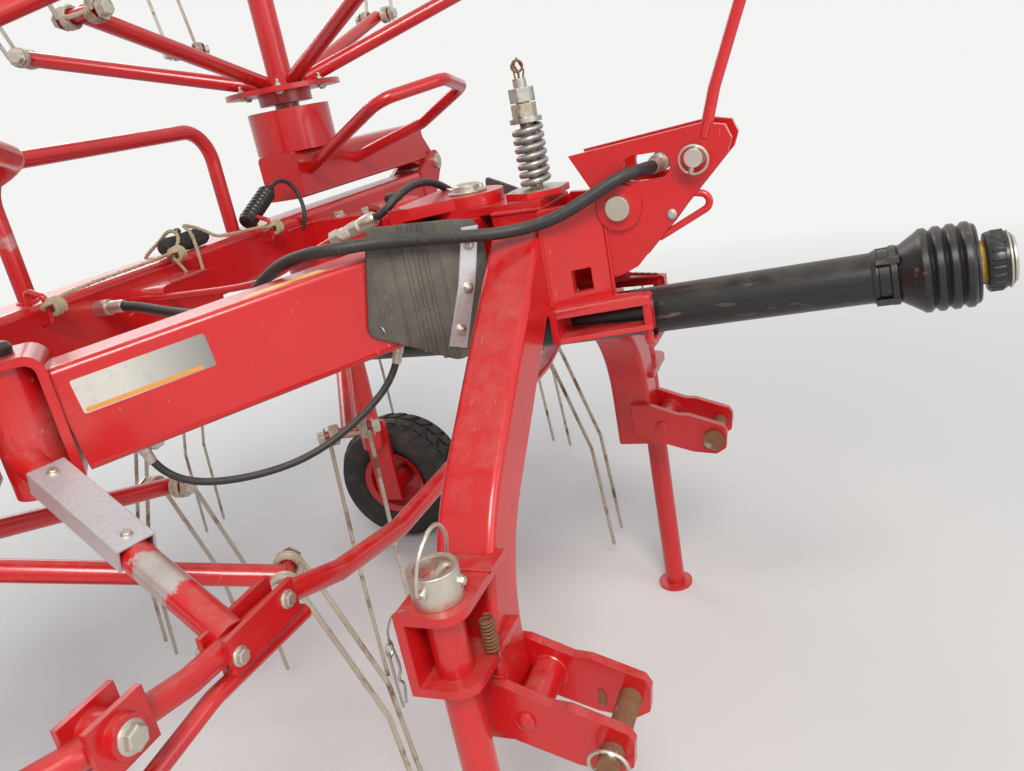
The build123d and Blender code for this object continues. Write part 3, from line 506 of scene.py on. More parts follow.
def zinc(f, look):
    """Bright zinc plating with dull stains and a little rust."""
    stain = f.noise(55.0, 5.0, 0.6)
    cloud = f.noise(14.0, 3.0)
    rust = f.noise(26.0, 6.0, 0.7).between(0.60, 0.70)
    colour = cloud.mix(stain.mix((0.36, 0.34, 0.30), (0.74, 0.72, 0.68)), (0.62, 0.56, 0.45))
    colour = rust.mix(colour, RUST)
    f.set(color=colour, rough=0.28 + stain * 0.22 + rust * 0.3, metal=0.92 - rust * 0.6)
    f.normal(f.noise(220.0, 3.0), 0.15, 0.0008, look.edge)


def galvanised(f, look):
    """Hot-dipped sheet: pale grey with faint crystals and dull runs."""
    crystal = f.cells(260.0)
    run = f.noise(20.0, 4.0, 0.6, f.stretched(0.3, 0.3, 2.0))
    colour = crystal.mix((0.58, 0.585, 0.60), (0.64, 0.645, 0.66))
    colour = (run.between(0.55, 0.85) * 0.3).mix(colour, (0.42, 0.39, 0.36))
    f.set(color=colour, rough=0.34 + crystal * 0.05, metal=0.55)
    f.normal(f.noise(140.0, 3.0), 0.12, 0.0008, look.edge)


def rusty_steel(f, look):
    """Steel under even brown rust, polished where it rubs."""
    blotch = f.noise(60.0, 6.0, 0.7)
    bright = f.noise(22.0, 3.0).between(0.58, 0.66)
    rust = blotch.mix((0.09, 0.035, 0.015), (0.33, 0.15, 0.07))
    f.set(color=bright.mix(rust, (0.40, 0.36, 0.31)), rough=0.78 - bright * 0.35, metal=bright * 0.8)
    f.normal(blotch, 0.45, 0.001, look.edge)


def spring_steel(f, look):
    """Dull spring steel, brown where the weather has reached it."""
    blotch = f.noise(75.0, 5.0, 0.65)
    rust = f.noise(18.0, 5.0, 0.6).between(0.52, 0.68)
    colour = rust.mix(blotch.mix((0.24, 0.23, 0.22), (0.50, 0.48, 0.45)), (0.24, 0.12, 0.06))
    f.set(color=colour, rough=0.38 + rust * 0.32, metal=0.85 - rust * 0.6)
    f.normal(blotch, 0.25, 0.0006)


def tine_steel(f, look):
    """The tines' pale coating, worn to dull steel and rust towards the tips."""
    stain = f.noise(30.0, 5.0, 0.65)
    rust = f.noise(16.0, 6.0, 0.7).between(0.52, 0.64)
    coat = stain.mix((0.36, 0.31, 0.24), (0.58, 0.52, 0.42))
    f.set(color=rust.mix(coat, (0.20, 0.11, 0.06)), rough=0.48 + rust * 0.25, metal=0.25)
    f.normal(stain, 0.2, 0.0008)


def black_plastic(f, look):
    """Black moulded plastic with scuffs and a pale dusty bloom on top."""
    dust = (f.facing_up() * f.noise(28.0, 5.0, 0.6)).between(0.25, 0.9) * 0.22
    scuff = f.noise(90.0, 4.0, 0.6, f.stretched(1.0, 0.2, 1.0)).between(0.62, 0.72) * 0.25
    colour = (dust + scuff).mix((0.013, 0.012, 0.012), look.dust)
    f.set(color=colour, rough=0.30 + dust * 0.9 + scuff * 0.6)
    f.normal(f.noise(420.0, 2.0), 0.08, 0.0004, look.edge)


def flap_rubber(f, look):
    """Weathered grey-black rubber sheet, dusty, with pale specks and fine cracks."""
    cloud = f.noise(14.0, 6.0, 0.65)
    speck = f.noise(300.0, 2.0, 0.5).between(0.70, 0.74) * f.noise(25.0, 3.0).between(0.42, 0.6)
    streak = f.noise(30.0, 4.0, 0.6, f.stretched(1.0, 1.0, 0.12)).between(0.45, 0.75) * 0.35
    colour = (cloud.between(0.30, 0.72) * 0.6 + streak * 0.5).mix((0.045, 0.041, 0.037), (0.22, 0.19, 0.155))
    colour = speck.mix(colour, (0.55, 0.48, 0.40))
    f.set(color=colour, rough=0.66 + cloud * 0.2)
    f.normal(f.noise(160.0, 5.0, 0.7) + speck * 0.5, 0.28, 0.0008, look.edge)


def hose_rubber(f, look):
    """Black hydraulic hose with dust on its upper side."""
    dust = (f.facing_up() * f.noise(45.0, 5.0, 0.6)).between(0.15, 0.85) * 0.34
    scuff = f.noise(120.0, 4.0, 0.6).between(0.60, 0.72) * 0.2
    f.set(color=(dust + scuff).mix((0.020, 0.019, 0.018), (0.30, 0.26, 0.21)), rough=0.50 + dust * 0.5)
    f.normal(f.noise(500.0, 2.0), 0.2, 0.0004)


def rope_fibre(f, look):
    """Cream twisted rope with grey weathering."""
    grey = f.noise(40.0, 5.0, 0.6)
    f.set(color=grey.mix((0.62, 0.50, 0.32), (0.33, 0.27, 0.18)), rough=0.92)
    f.normal(f.noise(900.0, 3.0, 0.6), 0.5, 0.0006)


def blank_label(f, look):
    """A blank pale label with grime in it, and painted shade that darkens it towards the arm's front end."""
    grime = f.noise(60.0, 6.0, 0.65).between(0.5, 0.75) * 0.35
    # Painted shade: the label goes from pale to dark grey towards the arm's front end.
    shade = f.axis("X").between(-0.47, -0.39).mix((0.60, 0.59, 0.53), (0.24, 0.24, 0.23))
    f.set(color=grime.mix(shade, (0.36, 0.31, 0.26)), rough=0.34 + grime * 0.4, coat=0.2)
    f.normal(f.noise(40.0, 3.0), 0.08, 0.0005)


def orange_band(f, look):
    """The blank label's orange band."""
    f.set(color=f.noise(50.0, 4.0).mix((0.80, 0.34, 0.05), (0.66, 0.26, 0.05)), rough=0.36, coat=0.2)
    f.normal(f.noise(40.0, 3.0), 0.08, 0.0005)


def yellow_film(f, look):
    """Yellow marking film with scuffed edges."""
    worn = f.noise(70.0, 6.0, 0.7).between(0.62, 0.70)
    f.set(color=worn.mix((0.86, 0.50, 0.05), (0.55, 0.10, 0.04)), rough=0.38 + worn * 0.3)
    f.normal(f.noise(60.0, 3.0), 0.1, 0.0005)


def white_tape(f, look):
    """Thread tape, off-white with grease."""
    dirt = f.noise(110.0, 5.0, 0.65).between(0.45, 0.7)
    f.set(color=dirt.mix((0.72, 0.70, 0.63), (0.34, 0.26, 0.17)), rough=0.6)
    f.normal(f.noise(300.0, 3.0), 0.3, 0.0006)


def foam(f, look):
    """Closed black foam with a fine broken skin."""
    cell = f.cells(420.0)
    f.set(color=cell.mix((0.012, 0.012, 0.013), (0.05, 0.048, 0.045)), rough=0.9)
    f.normal(cell, 0.6, 0.0008)


def tyre_rubber(f, look):
    """Black tyre rubber with dry earth in it."""
    earth = f.noise(20.0, 6.0, 0.65).between(0.5, 0.75) * 0.5
    f.set(color=earth.mix((0.016, 0.014, 0.013), (0.13, 0.085, 0.055)), rough=0.72 + earth * 0.2)
    f.normal(f.noise(260.0, 4.0), 0.3, 0.0008)


def yellow_paint(f, look):
    """Yellow paint with grease and dirt on it."""
    dirt = f.noise(34.0, 5.0, 0.65).between(0.46, 0.66)
    f.set(color=dirt.mix((0.62, 0.37, 0.012), (0.10, 0.07, 0.035)), rough=0.4 + dirt * 0.3)
    f.normal(f.noise(90.0, 3.0), 0.15, 0.0008)


def colour_property(name, description, default):
    """A colour that the panel can change."""
    return FloatVectorProperty(
        name=name, description=description, subtype="COLOR", default=default, min=0, max=1)


class TedderLook(PropertyGroup):
    """Colours of the tedder's finishes."""
    red: colour_property("Red", "Enamel in the light", (0.64, 0.011, 0.013))
    red_dark: colour_property("Dark red", "Enamel where it has dulled", (0.46, 0.006, 0.008))
    primer: colour_property("Primer", "Grey under a chip", (0.36, 0.31, 0.28))
    dust: colour_property("Dust", "Dry dust on upper faces", (0.42, 0.33, 0.27))
    faded: colour_property("Faded", "Enamel bleached by the weather", (0.62, 0.20, 0.17))
    grime: colour_property("Grime", "Dark dirt in patches", (0.16, 0.035, 0.028))
    scratch: colour_property("Scratch", "Pale bottom of a scratch", (0.60, 0.30, 0.26))
    steel: colour_property("Bare steel", "Steel rubbed bright", (0.72, 0.70, 0.67))
    steel_dull: colour_property("Dull steel", "Bare steel that has dulled", (0.36, 0.31, 0.28))
    edge: FloatProperty(
        name="Edge", description="Radius that painted and moulded edges look rounded by", subtype="DISTANCE",
        unit="LENGTH", default=0.0022, min=0)


class TedderSizes(PropertyGroup):
    """Sizes of the small parts."""
    rope: FloatProperty(
        name="Rope", description="Thickness of the cream rope", subtype="DISTANCE", unit="LENGTH",
        default=0.008, min=0.003, max=0.02)
    ring_wire: FloatProperty(
        name="Ring wire", description="Thickness of the lynch pins' rings", subtype="DISTANCE", unit="LENGTH",
        default=0.0052, min=0.002, max=0.01)
    tread: FloatProperty(
        name="Tread", description="Height of the tyres' lugs", subtype="DISTANCE", unit="LENGTH",
        default=0.007, min=0.0, max=0.012)
    lugs: IntProperty(name="Lugs", description="Lugs round one tyre, in each row", default=26, min=8, max=60)


class TedderView(PropertyGroup):
    """Camera and light."""
    eye: FloatVectorProperty(
        name="Eye", description="Place of the camera", subtype="TRANSLATION", unit="LENGTH",
        default=(-1.2363, -0.8906, 1.2051))
    yaw: FloatProperty(
        name="Yaw", description="Turn from across the machine to its rear", subtype="ANGLE",
        default=math.radians(23.99))
    dip: FloatProperty(
        name="Dip", description="Angle that the camera looks down", subtype="ANGLE",
        default=math.radians(19.05))
    roll: FloatProperty(
        name="Roll", description="Lean of the camera", subtype="ANGLE", default=math.radians(-10.93))
    lens: FloatProperty(
        name="Lens", description="Focal length in millimetres", default=29.83, min=5, max=200)
    key: FloatProperty(
        name="Key light", description="Power of the main lamp in watts", default=330.0, min=0)
    backdrop: colour_property("Backdrop", "Colour behind the machine", (0.90, 0.90, 0.89))


FINISHES = {"tyre": tyre_rubber, "rubber": flap_rubber}
for maker in (red_paint, brake_mix, zinc, galvanised, rusty_steel, spring_steel, tine_steel, black_plastic,
              hose_rubber, rope_fibre, blank_label, orange_band, yellow_film, white_tape, foam, yellow_paint):
    FINISHES[maker.__name__] = maker
NODE_FINISHES = {"brake_rod": "brake_mix", "stay_covers": "galvanised"}
made_finishes = {}


def finish(name):
    """The material of a finish, made once."""
    if name not in made_finishes:
        made = Finish(FINISHES[name].__name__)
        FINISHES[name](made, bpy.context.scene.tedder_look)
        made_finishes[name] = made.material
    return made_finishes[name]


class TEDDER_OT_finishes(Operator):
    """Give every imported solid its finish"""
    bl_idname = "tedder.finishes"
    bl_label = "Finishes"

    def execute(self, context):
        for part in frame["record"]["subparts"]:
            node = NODES[part["node"]]
            node.data.materials.clear()
            look = NODE_FINISHES.get(part["node"], part["material_slot"])
            node.data.materials.append(finish(look))
        return {"FINISHED"}


def spline_curve(name, points, radius=0.0):
    """A smooth hose or rope line through the frame, with its route's points as control points."""
    curve = bpy.data.curves.new(name, "CURVE")
    curve.dimensions = "3D"
    curve.resolution_u = 8
    curve.bevel_depth = radius
    curve.bevel_resolution = 4
    curve.use_fill_caps = True
    spline = curve.splines.new("NURBS")
    spline.points.add(len(points) - 1)
    for control, point in zip(spline.points, points):
        control.co = (*at(*point), 1.0)
    spline.order_u = 3
    spline.use_endpoint_u = True
    made = bpy.data.objects.new(name, curve)
    bpy.context.scene.collection.objects.link(made)
    return made


def spline_mesh(name, points, radius=0.0):
    """The mesh of such a line, and with no radius its points alone."""
    made = spline_curve(name + "_line", points, radius)
    bpy.context.view_layer.update()
    data = bpy.data.meshes.new_from_object(made)
    bpy.data.objects.remove(made)
    return data


def centreline(points):
    """The smooth line's own points, in metres."""
    data = spline_mesh("route", points)
    line = [v.co.copy() for v in data.vertices]
    bpy.data.meshes.remove(data)
    return line


def short_hose(name, points, thick):
    """A hose fixed at both ends on the frame, as a curve through its points."""
    made = spline_curve(name, points, thick / 2)
    made.data.materials.append(finish("hose_rubber"))
    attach(made, "frame")
    centreline(points)[0]
    return made


class TEDDER_OT_hoses(Operator):
    """The hydraulic hoses, their ferrules, the taped fitting and the boot"""
    bl_idname = "tedder.hoses"
    bl_label = "Hoses"

    def execute(self, context):
        line = centreline(HOSE_POINTS)
        data = spline_mesh("upper_hose", HOSE_POINTS, 0.009)
        data.shade_smooth()
        data.materials.clear()
        data.materials.append(finish("hose_rubber"))
        hose = bpy.data.objects.new("upper_hose", data)
        context.scene.collection.objects.link(hose)
        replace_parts(hose, "main_hose")
        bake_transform(hose)
        x, y, z = HOSE_POINTS[0]
        ferrule = Shape("beam_ferrule", "zinc", "frame").turned(
            (x, y + 5, z), (0, -1, 0), [(0, 12), (4, 12), (5, 11), (32, 11), (38, 10)]).done()
        for name, end, before in (("rear", *LOW_HOSE_POINTS[:2]), ("front", *LOW_HOSE_POINTS[:-3:-1])):
            inward = (Vector(before) - Vector(end)).normalized()
            Shape("nipple_" + name, "zinc", "frame").turned(
                Vector(end) - inward * 2, inward, [(0, 8), (3, 8), (4, 7.2), (16, 7.2), (19, 6.4)]).done()
        x, y, z = HOSE_POINTS[-1]
        sleeve = Shape("coupling_sleeve", "zinc", "headstock")
        sleeve.turned((x - 26, y, z), ACROSS, [(0, 10), (4, 11), (24, 11), (27, 12.4)])
        sleeve.turned((x + 8, y, z), ACROSS, [(0, 13), (1, 13.6), (4, 13.6), (5, 13)])
        sleeve.turned((x + 18, y, z), ACROSS, [(0, 13), (1, 13.6), (12, 13.6), (13, 13)], sides=6)
        sleeve = sleeve.done()
        low = short_hose("lower_hose", LOW_HOSE_POINTS, 0.011)
        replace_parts(low, "low_hose")
        self.fitting()
        self.boot()
        return {"FINISHED"}

    def boot(self):
        """The ribbed boot on the beam's top and the thin hose that leaves it."""
        start = Vector((335, 850, 1030))
        along = Vector((452, 850, 1088)) - start
        reach = along.length
        ribs = 9
        profile = [(-3, 14), (0, 18)]
        for k in range(ribs):
            near = 6 + k * (reach - 22) / ribs
            profile += [(near, 18.5), (near + 2, 20.5), (near + 6, 20.5), (near + 8, 17.5)]
        profile += [(reach - 10, 15), (reach - 4, 11), (reach, 9)]
        boot = Shape("hose_boot", "black_plastic", "frame").turned(start, along, profile, sides=32).done()
        short_hose("boot_hose", BOOT_HOSE_POINTS, 0.010)

    def fitting(self):
        """The steel pipe from the beam to the taped fitting by the tongue, and the hose that it feeds."""
        start = Vector((-60, 375, 1027))
        along = (Vector(TONGUE_HOSE_POINTS[0]) - start).normalized()
        Shape("steel_pipe", "red_paint", "frame").bent(flowing([
            (-72, 824, 968), (-72, 790, 968), (-70, 700, 966), (-66, 540, 972), (-62, 430, 1008),
            start + along * 2]), 6).done()
        metal = Shape("taped_fitting", "zinc", "frame")
        metal.turned(start, along, [(0, 10), (1, 13), (18, 13), (19, 10)], sides=6)
        metal.turned(start + along * 40, along, [(0, 9), (1, 11.5), (14, 11.5), (15, 9)], sides=6)
        metal.turned(start + along * 62, along, [(0, 10.5), (3, 11.5), (26, 11.5), (30, 9)])
        metal = metal.done()
        tape = Shape("thread_tape", "white_tape", "frame")
        tape.turned(start + along * 18, along, [
            (0, 9), (2, 10.6), (7, 11.2), (11, 10.0), (16, 11.0), (22, 10.4), (23, 9)])
        tape.turned(start + along * 54, along, [(0, 9), (2, 11), (8, 10.4), (9, 9)])
        tape.done()
        short_hose("tongue_hose", TONGUE_HOSE_POINTS, 0.013)


def twisted(name, points, thick):
    """A rope on the frame, of three strands that wind round its smooth line."""
    line = centreline(points)
    spaced = [line[0]]
    for p in line[1:]:
        if (p - spaced[-1]).length > thick * 0.35:
            spaced.append(p)
    shape = Shape(name, "rope_fibre", "frame")
    back = TO_FRAME.inverted()
    local = [back @ p for p in spaced]
    size = thick / MM
    lay = size * 3.4
    for strand in range(3):
        side = None
        wound = []
        gone = 0.0
        for i, p in enumerate(local):
            beyond = local[min(i + 1, len(local) - 1)]
            before = local[max(i - 1, 0)]
            along = (beyond - before).normalized()
            side = along.orthogonal() if side is None else side
            side = (side - along * side.dot(along)).normalized()
            across = along.cross(side)
            gone += (p - before).length
            wound.append(p + around(side, across, math.tau * (gone / lay + strand / 3)) * size * 0.23)
        shape.bent(wound, size * 0.27, 6)
    made = shape.done()


def knot(shape, place, axis, size):
    """A hitch of two and a half turns."""
    shape.bent(winding(place, axis, size * 1.5, 2.5, size * 2.4, 14), size * 0.55, 7)
    above = Vector(place) + Vector((0, 0, size * 0.4))
    shape.bent(winding(above, (0.3, 0.5, 1), size * 1.4), size * 0.5, 7, closed=True)


class TEDDER_OT_ropes(Operator):
    """The cream rope along the beam, its knots, the foam grip that it ties down, and the hanging toggle"""
    bl_idname = "tedder.ropes"
    bl_label = "Ropes"

    def execute(self, context):
        thick = context.scene.tedder_sizes.rope
        twisted("beam_rope", BEAM_ROPE_POINTS, thick)
        twisted("toggle_rope", TOGGLE_ROPE_POINTS, thick * 0.85)
        size = thick / MM
        knots = Shape("rope_knots", "rope_fibre", "frame")
        knot(knots, (48, 808, 1020), (1, 0.2, 0.1), size)
        knot(knots, (-262, 797, 1008), ACROSS, size)
        knot(knots, (352, 797, 1008), ACROSS, size)
        knots.done()
        Shape("toggle", "rusty_steel", "frame").turned((86, 806, 906), (0.75, -0.55, 0.35), [
            (0, 9), (1, 11), (30, 11), (31, 9), (24, 7.5), (6, 7.5)], closed=True).done()
        Shape("foam_grip", "foam", "frame").turned((60, 845, 1034), ACROSS, [
            (0, 8), (2, 13), (8, 17), (16, 18.5), (30, 17.6), (60, 16.6), (72, 18.4), (96, 18.4), (118, 17),
            (126, 13), (128, 8)]).done()
        Shape("grip_tip", "black_plastic", "frame").turned(
            (112, 846, 1052), (0.6, 0, 1), [(0, 6), (2, 7), (9, 7), (12, 4)]).done()
        return {"FINISHED"}


def lynch_ring(shape, place, axis, reach, wire):
    """The sprung ring of a lynch pin round a shaft's end, with its head and its pin."""
    place = Vector(place)
    axis = Vector(axis).normalized()
    down = Vector((0, 0.35, -1)).normalized()
    tilted = axis + Vector((0, 0, 0.12))
    shape.bent(winding(place + down * reach * 0.18, tilted, reach), wire / 2, 8, closed=True)
    top = place - down * (reach * 0.86)
    head = [(0, wire), (1, wire * 1.3), (wire * 1.8, wire * 1.3), (wire * 2, wire)]
    pin = [(0, wire * 0.8), (reach * 1.9, wire * 0.8), (reach * 2.05, wire * 0.5)]
    shape.turned(top, down, head, sides=16).turned(top, down, pin, sides=12)


class TEDDER_OT_fasteners(Operator):
    """Lynch pins, bolts, nuts, clips and springs of the headstock and of the stands"""
    bl_idname = "tedder.fasteners"
    bl_label = "Headstock fasteners"

    def execute(self, context):
        wire = context.scene.tedder_sizes.ring_wire / MM
        rings = Shape("lynch_rings", "zinc", "headstock")
        x, y, z = TOP_PIN
        lynch_ring(rings, (-x - 19, y, z), ACROSS, 19, wire * 0.8)
        for side in SIDES.values():
            lynch_ring(rings, (side * (HITCH[0] + CHEEK_OUT + 19), HITCH[1], HITCH[2]), ACROSS, 24, wire)
        rings.done()
        bolts = Shape("headstock_bolts", "zinc", "headstock")
        bolts.bolt((-x - 0.4, -172, 1000), (-1, 0, 0), 6)
        bolts.bent(winding((0, PIVOT_Y - 22, 1072), (1, 0.2, 0), 4.6, 0.8, 0.01, 20), 1.5, 6)
        bolts.bent([(2, PIVOT_Y - 18, 1072), (1.5, PIVOT_Y + 22, 1072), (7, PIVOT_Y + 33, 1069)], 1.5, 6)
        bolts.bent([(-2, PIVOT_Y - 18, 1072), (-1.5, PIVOT_Y + 22, 1072), (-7, PIVOT_Y + 31, 1075)], 1.5, 6)
        bolts.turned((0, PIVOT_Y, 1064.4), UP, [(0, 20.2), (0, 30), (2.6, 31), (3.4, 30), (3.4, 20.2)],
                     closed=True, sides=40)
        bolts.done()
        x, y, z = SMEAR
        Shape("clevis_smear", "rusty_steel", "headstock").slab([(x, y + a, z + b) for a, b in (
            (-4, -13), (-7, -8), (-5, -2), (-7, 4), (-4, 10), (1, 14), (5, 9), (3, 3), (6, -2), (4, -7),
            (5, -12), (0, -15))], (-0.3, 0, 0), 0.2).done()
        heads = Shape("clevis_pin_heads", "red_paint", "headstock")
        for outward in SIDES.values():
            x = HITCH[0] + outward * (CHEEK_OUT - 0.5)
            heads.turned((x, *CLEVIS_PIN), (outward, 0, 0), [(0, 13), (4, 12.4), (6, 10), (6.6, 4)])
        heads.done(both=True)
        eye = Shape("brake_eye", "rusty_steel", "headstock")
        eye.bent([(0, 35, SPRING_TOP - 3), (2, 35, SPRING_TOP + 8),
                  *winding((0, 35, SPRING_TOP + 17), (1, 0.4, 0), 8)], 1.8, 7)
        eye.bent([(8, 33, SPRING_TOP - 6), (12, 30, SPRING_TOP + 10), (3, 35, SPRING_TOP + 28),
                  (-9, 38, SPRING_TOP + 14), (-8, 37, SPRING_TOP - 8)], 1.4, 6)
        eye.done()
        links = Shape("flap_rings", "spring_steel", "frame")
        for side in SIDES.values():
            hole = flap_place(318, FLAP_BACK + FLAP_T / 2, 917, side)
            links.bent(winding(hole, (1, side * 0.6, 0.3), 8), 1.3, 6, closed=True)
        links.done()
        self.stands(wire)
        return {"FINISHED"}

    def stands(self, wire):
        """Each stand's ring pin and set bolt, and on the near side the spring and the hanging clip."""
        x, y, z = STAND
        for name, side in SIDES.items():
            pins = Shape("stand_pin_" + name, "zinc", "stand_" + name)
            pins.turned((side * x - 36, y, z), ACROSS, [(0, 5), (1, 6), (71, 6), (72, 5)])
            loop = flowing([(side * x + a, y + b, z + c) for a, b, c in (
                (-36, 0, 0), (-41, 0, 10), (-34, -6, 44), (-10, -12, 66), (14, -12, 62), (32, -8, 38),
                (39, 0, 12), (36, 0, 0))], 7)
            pins.bent(loop, wire / 2, 8)
            pins.bolt((side * (x - 6), y - 29.5, z - 4), (0, -1, 0), 6)
            pins.turned((side * x, y, z - 24), UP, [
                (40, 22.6), (41, 29.6), (40.2, 30.2), (38, 30.2), (38, 22.6)], closed=True)
            pins.done()
            Shape("stand_bore_" + name, "rusty_steel", "stand_" + name).turned(
                (side * x, y, z - 0.5), UP, [(0, 12), (0.8, 18.5), (1.2, 18)], closed=True).done()
        coil = Shape("stand_spring", "rusty_steel", "headstock")
        coil.bent(winding((-497, 6, 596), UP, 8, 9, 44, 16), 1.7, 6)
        coil.bent([(-497, -2, 594), (-499, -2, 586)], 1.7, 6)
        coil.done()
        clip = Shape("hanging_clip", "spring_steel", "headstock")
        clip.bent(flowing([(-558, 70, 689), (-562, 84, 684), (-566, 92, 668), (-566, 95, 652)], 5), 1.3, 6)
        clip.bent(flowing([
            (-566, 95, 655), (-561, 96, 640), (-570, 96, 632), (-575, 95, 645), (-566, 94, 648),
            (-560, 94, 612), (-567, 94, 600), (-561, 94, 588), (-566, 94, 566)], 5), 1.7, 7)
        clip.bent([(-572, 95, 640), (-574, 94, 600), (-573, 94, 566)], 1.7, 7)
        clip.done()


def flap_place(along, off, z, side):
    """A place on a rubber flap: along its plane from the middle, out from its back, at a height."""
    return Vector((side * (along + off) * DIAGONAL, (along - off) * DIAGONAL, z))


def rotor_frames():
    """Each rotor's name, with the matrix that puts it in its place and the one for the wheel under it."""
    fold = (Matrix.Translation((HINGE[0], 0, HINGE[1])) @ Matrix.Rotation(math.pi, 4, "Y")
            @ Matrix.Translation((-HINGE[0], 0, -HINGE[1])))
    for name, side in SIDES.items():
        for place in ("inner", "outer"):
            outer = place == "outer"
            phase = 0.0 if (name == "near") != outer else math.pi / ARM_COUNT
            x = ROTOR_X + (HINGE[0] if outer else 0)
            stand = Matrix.Translation((x, BEAM_Y, 0))
            move = stand @ Matrix.Rotation(phase, 4, "Z")
            if outer:
                move, stand = fold @ move, fold @ stand
            if side < 0:
                move, stand = MIRROR @ move, MIRROR @ stand
            yield name + "_" + place, move, stand


class TEDDER_OT_tines(Operator):
    """The twelve coiled spring tines of each rotor, and the nuts and bolts of its arms and disc"""
    bl_idname = "tedder.tines"
    bl_label = "Tines"

    def execute(self, context):
        reach = 559.0
        height = 590.0
        leg = 42.0
        coil_r = 18.2
        coil_width = 19.0
        wire = 4.5
        half = [(673.4, leg, 58), (655, leg, 330), (590, leg, 553)]
        per_turn = 14
        count = 3 * per_turn
        for k in range(count + 1):
            a = math.tau * k / per_turn
            half.append((reach + coil_r * math.cos(a), leg - coil_width * k / count,
                         height - coil_r * math.sin(a)))
        half.append((reach + coil_r + 5, 12, height + 3))
        pair = half + [(x, -y, z) for x, y, z in reversed(half)]
        for name, move, _ in rotor_frames():
            tines = Shape("tines_" + name + "_wire", "tine_steel", "rotor_" + name, "spring_steel")
            nuts = Shape("rotor_" + name + "_nuts", "zinc", "rotor_" + name)
            for i in range(ARM_COUNT):
                turn = Matrix.Rotation(math.tau * i / ARM_COUNT, 4, "Z")
                tines.bent([turn @ Vector(p) for p in pair], wire, 7)
                for side in (-1, 1):
                    nut = turn @ Vector((reach, side * (leg + 8), height))
                    nuts.turned(nut, turn @ Vector((0, side, 0)), [
                        (0, 21), (2, 21), (2.2, 15), (14, 15), (15.5, 13)], sides=6)
                seat = turn @ Matrix.Rotation(math.pi / ARM_COUNT, 4, "Z") @ Vector((108, 0, 0))
                nuts.bolt(seat + Vector((0, 0, DISC_Z + 6)), UP, 8)
                nuts.bolt(seat + Vector((0, 0, DISC_Z - 6)), (0, 0, -1), 8, 16)
            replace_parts(tines.done(move=move), "tines_" + name)
            nuts.done(move=move)
        return {"FINISHED"}


class TEDDER_OT_tyres(Operator):
    """The lugged tyres, and each wheel's bolts and valve"""
    bl_idname = "tedder.tyres"
    bl_label = "Tyres"

    def execute(self, context):
        sizes = context.scene.tedder_sizes
        tread = sizes.tread / MM
        half = WHEEL_W / 2
        crown = [(0, WHEEL_R), (half - 44, WHEEL_R), (half - 26, WHEEL_R - 4), (half - 8, WHEEL_R - 18)]
        wheel_bolts = 5

        def height(off):
            """Radius of the tyre's crown at a distance from its middle."""
            for (a, ra), (b, rb) in zip(crown, crown[1:]):
                if abs(off) <= b:
                    return ra + (rb - ra) * (abs(off) - a) / (b - a)
            return crown[-1][1]

        side = [(half - 28, RIM_R), (half - 24, RIM_R + 10), (half - 8, RIM_R + 20), (half - 1.5, RIM_R + 34),
                (half, RIM_R + 48), (half - 3, WHEEL_R - 32), (half - 8, WHEEL_R - 18),
                (half - 26, WHEEL_R - 4 - tread), (half - 44, WHEEL_R - tread)]
        profile = side + [(-off, r) for off, r in reversed(side)]
        rows = ((8 - half, -40, 0.5), (-35, -5, 0.0), (5, 35, 0.5), (40, half - 8, 0.0))
        for name, _, stand in rotor_frames():
            centre = Vector((WHEEL_OFFSET, 0, WHEEL_R))
            tyre = Shape("tyre_" + name + "_lugged", "tyre", "wheel_" + name)
            tyre.turned(centre, ACROSS, profile, sides=72, closed=True)
            for low, high, lag in rows:
                for k in range(sizes.lugs):
                    rings = []
                    for sink, share in ((tread + 3, 0.64), (1.2, 0.60), (0.3, 0.54)):
                        ring = []
                        for off, edge in ((low, -1), (high, -1), (high, 1), (low, 1)):
                            skew = 0.35 * (off - low) / (high - low) * (1 if lag else -1)
                            a = math.tau * (k + lag + skew + edge * share / 2) / sizes.lugs
                            r = height(off) - sink
                            ring.append(centre + Vector((off, r * math.cos(a), r * math.sin(a))))
                        rings.append(ring)
                    tyre.skin(rings)
            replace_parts(tyre.done(move=stand), "tyre_" + name)
            bolts = Shape("wheel_" + name + "_bolts", "zinc", "wheel_" + name)
            for k in range(wheel_bolts):
                a = math.tau * k / wheel_bolts
                bolts.bolt(centre + Vector((12, 52 * math.cos(a), 52 * math.sin(a))), ACROSS, 8)
            bolts.turned(centre + Vector((20, 0, 76)), (1, 0, 0.5), [
                (0, 4), (16, 4), (16, 5), (24, 5), (25, 3)], sides=12)
            bolts.done(move=stand)
        return {"FINISHED"}


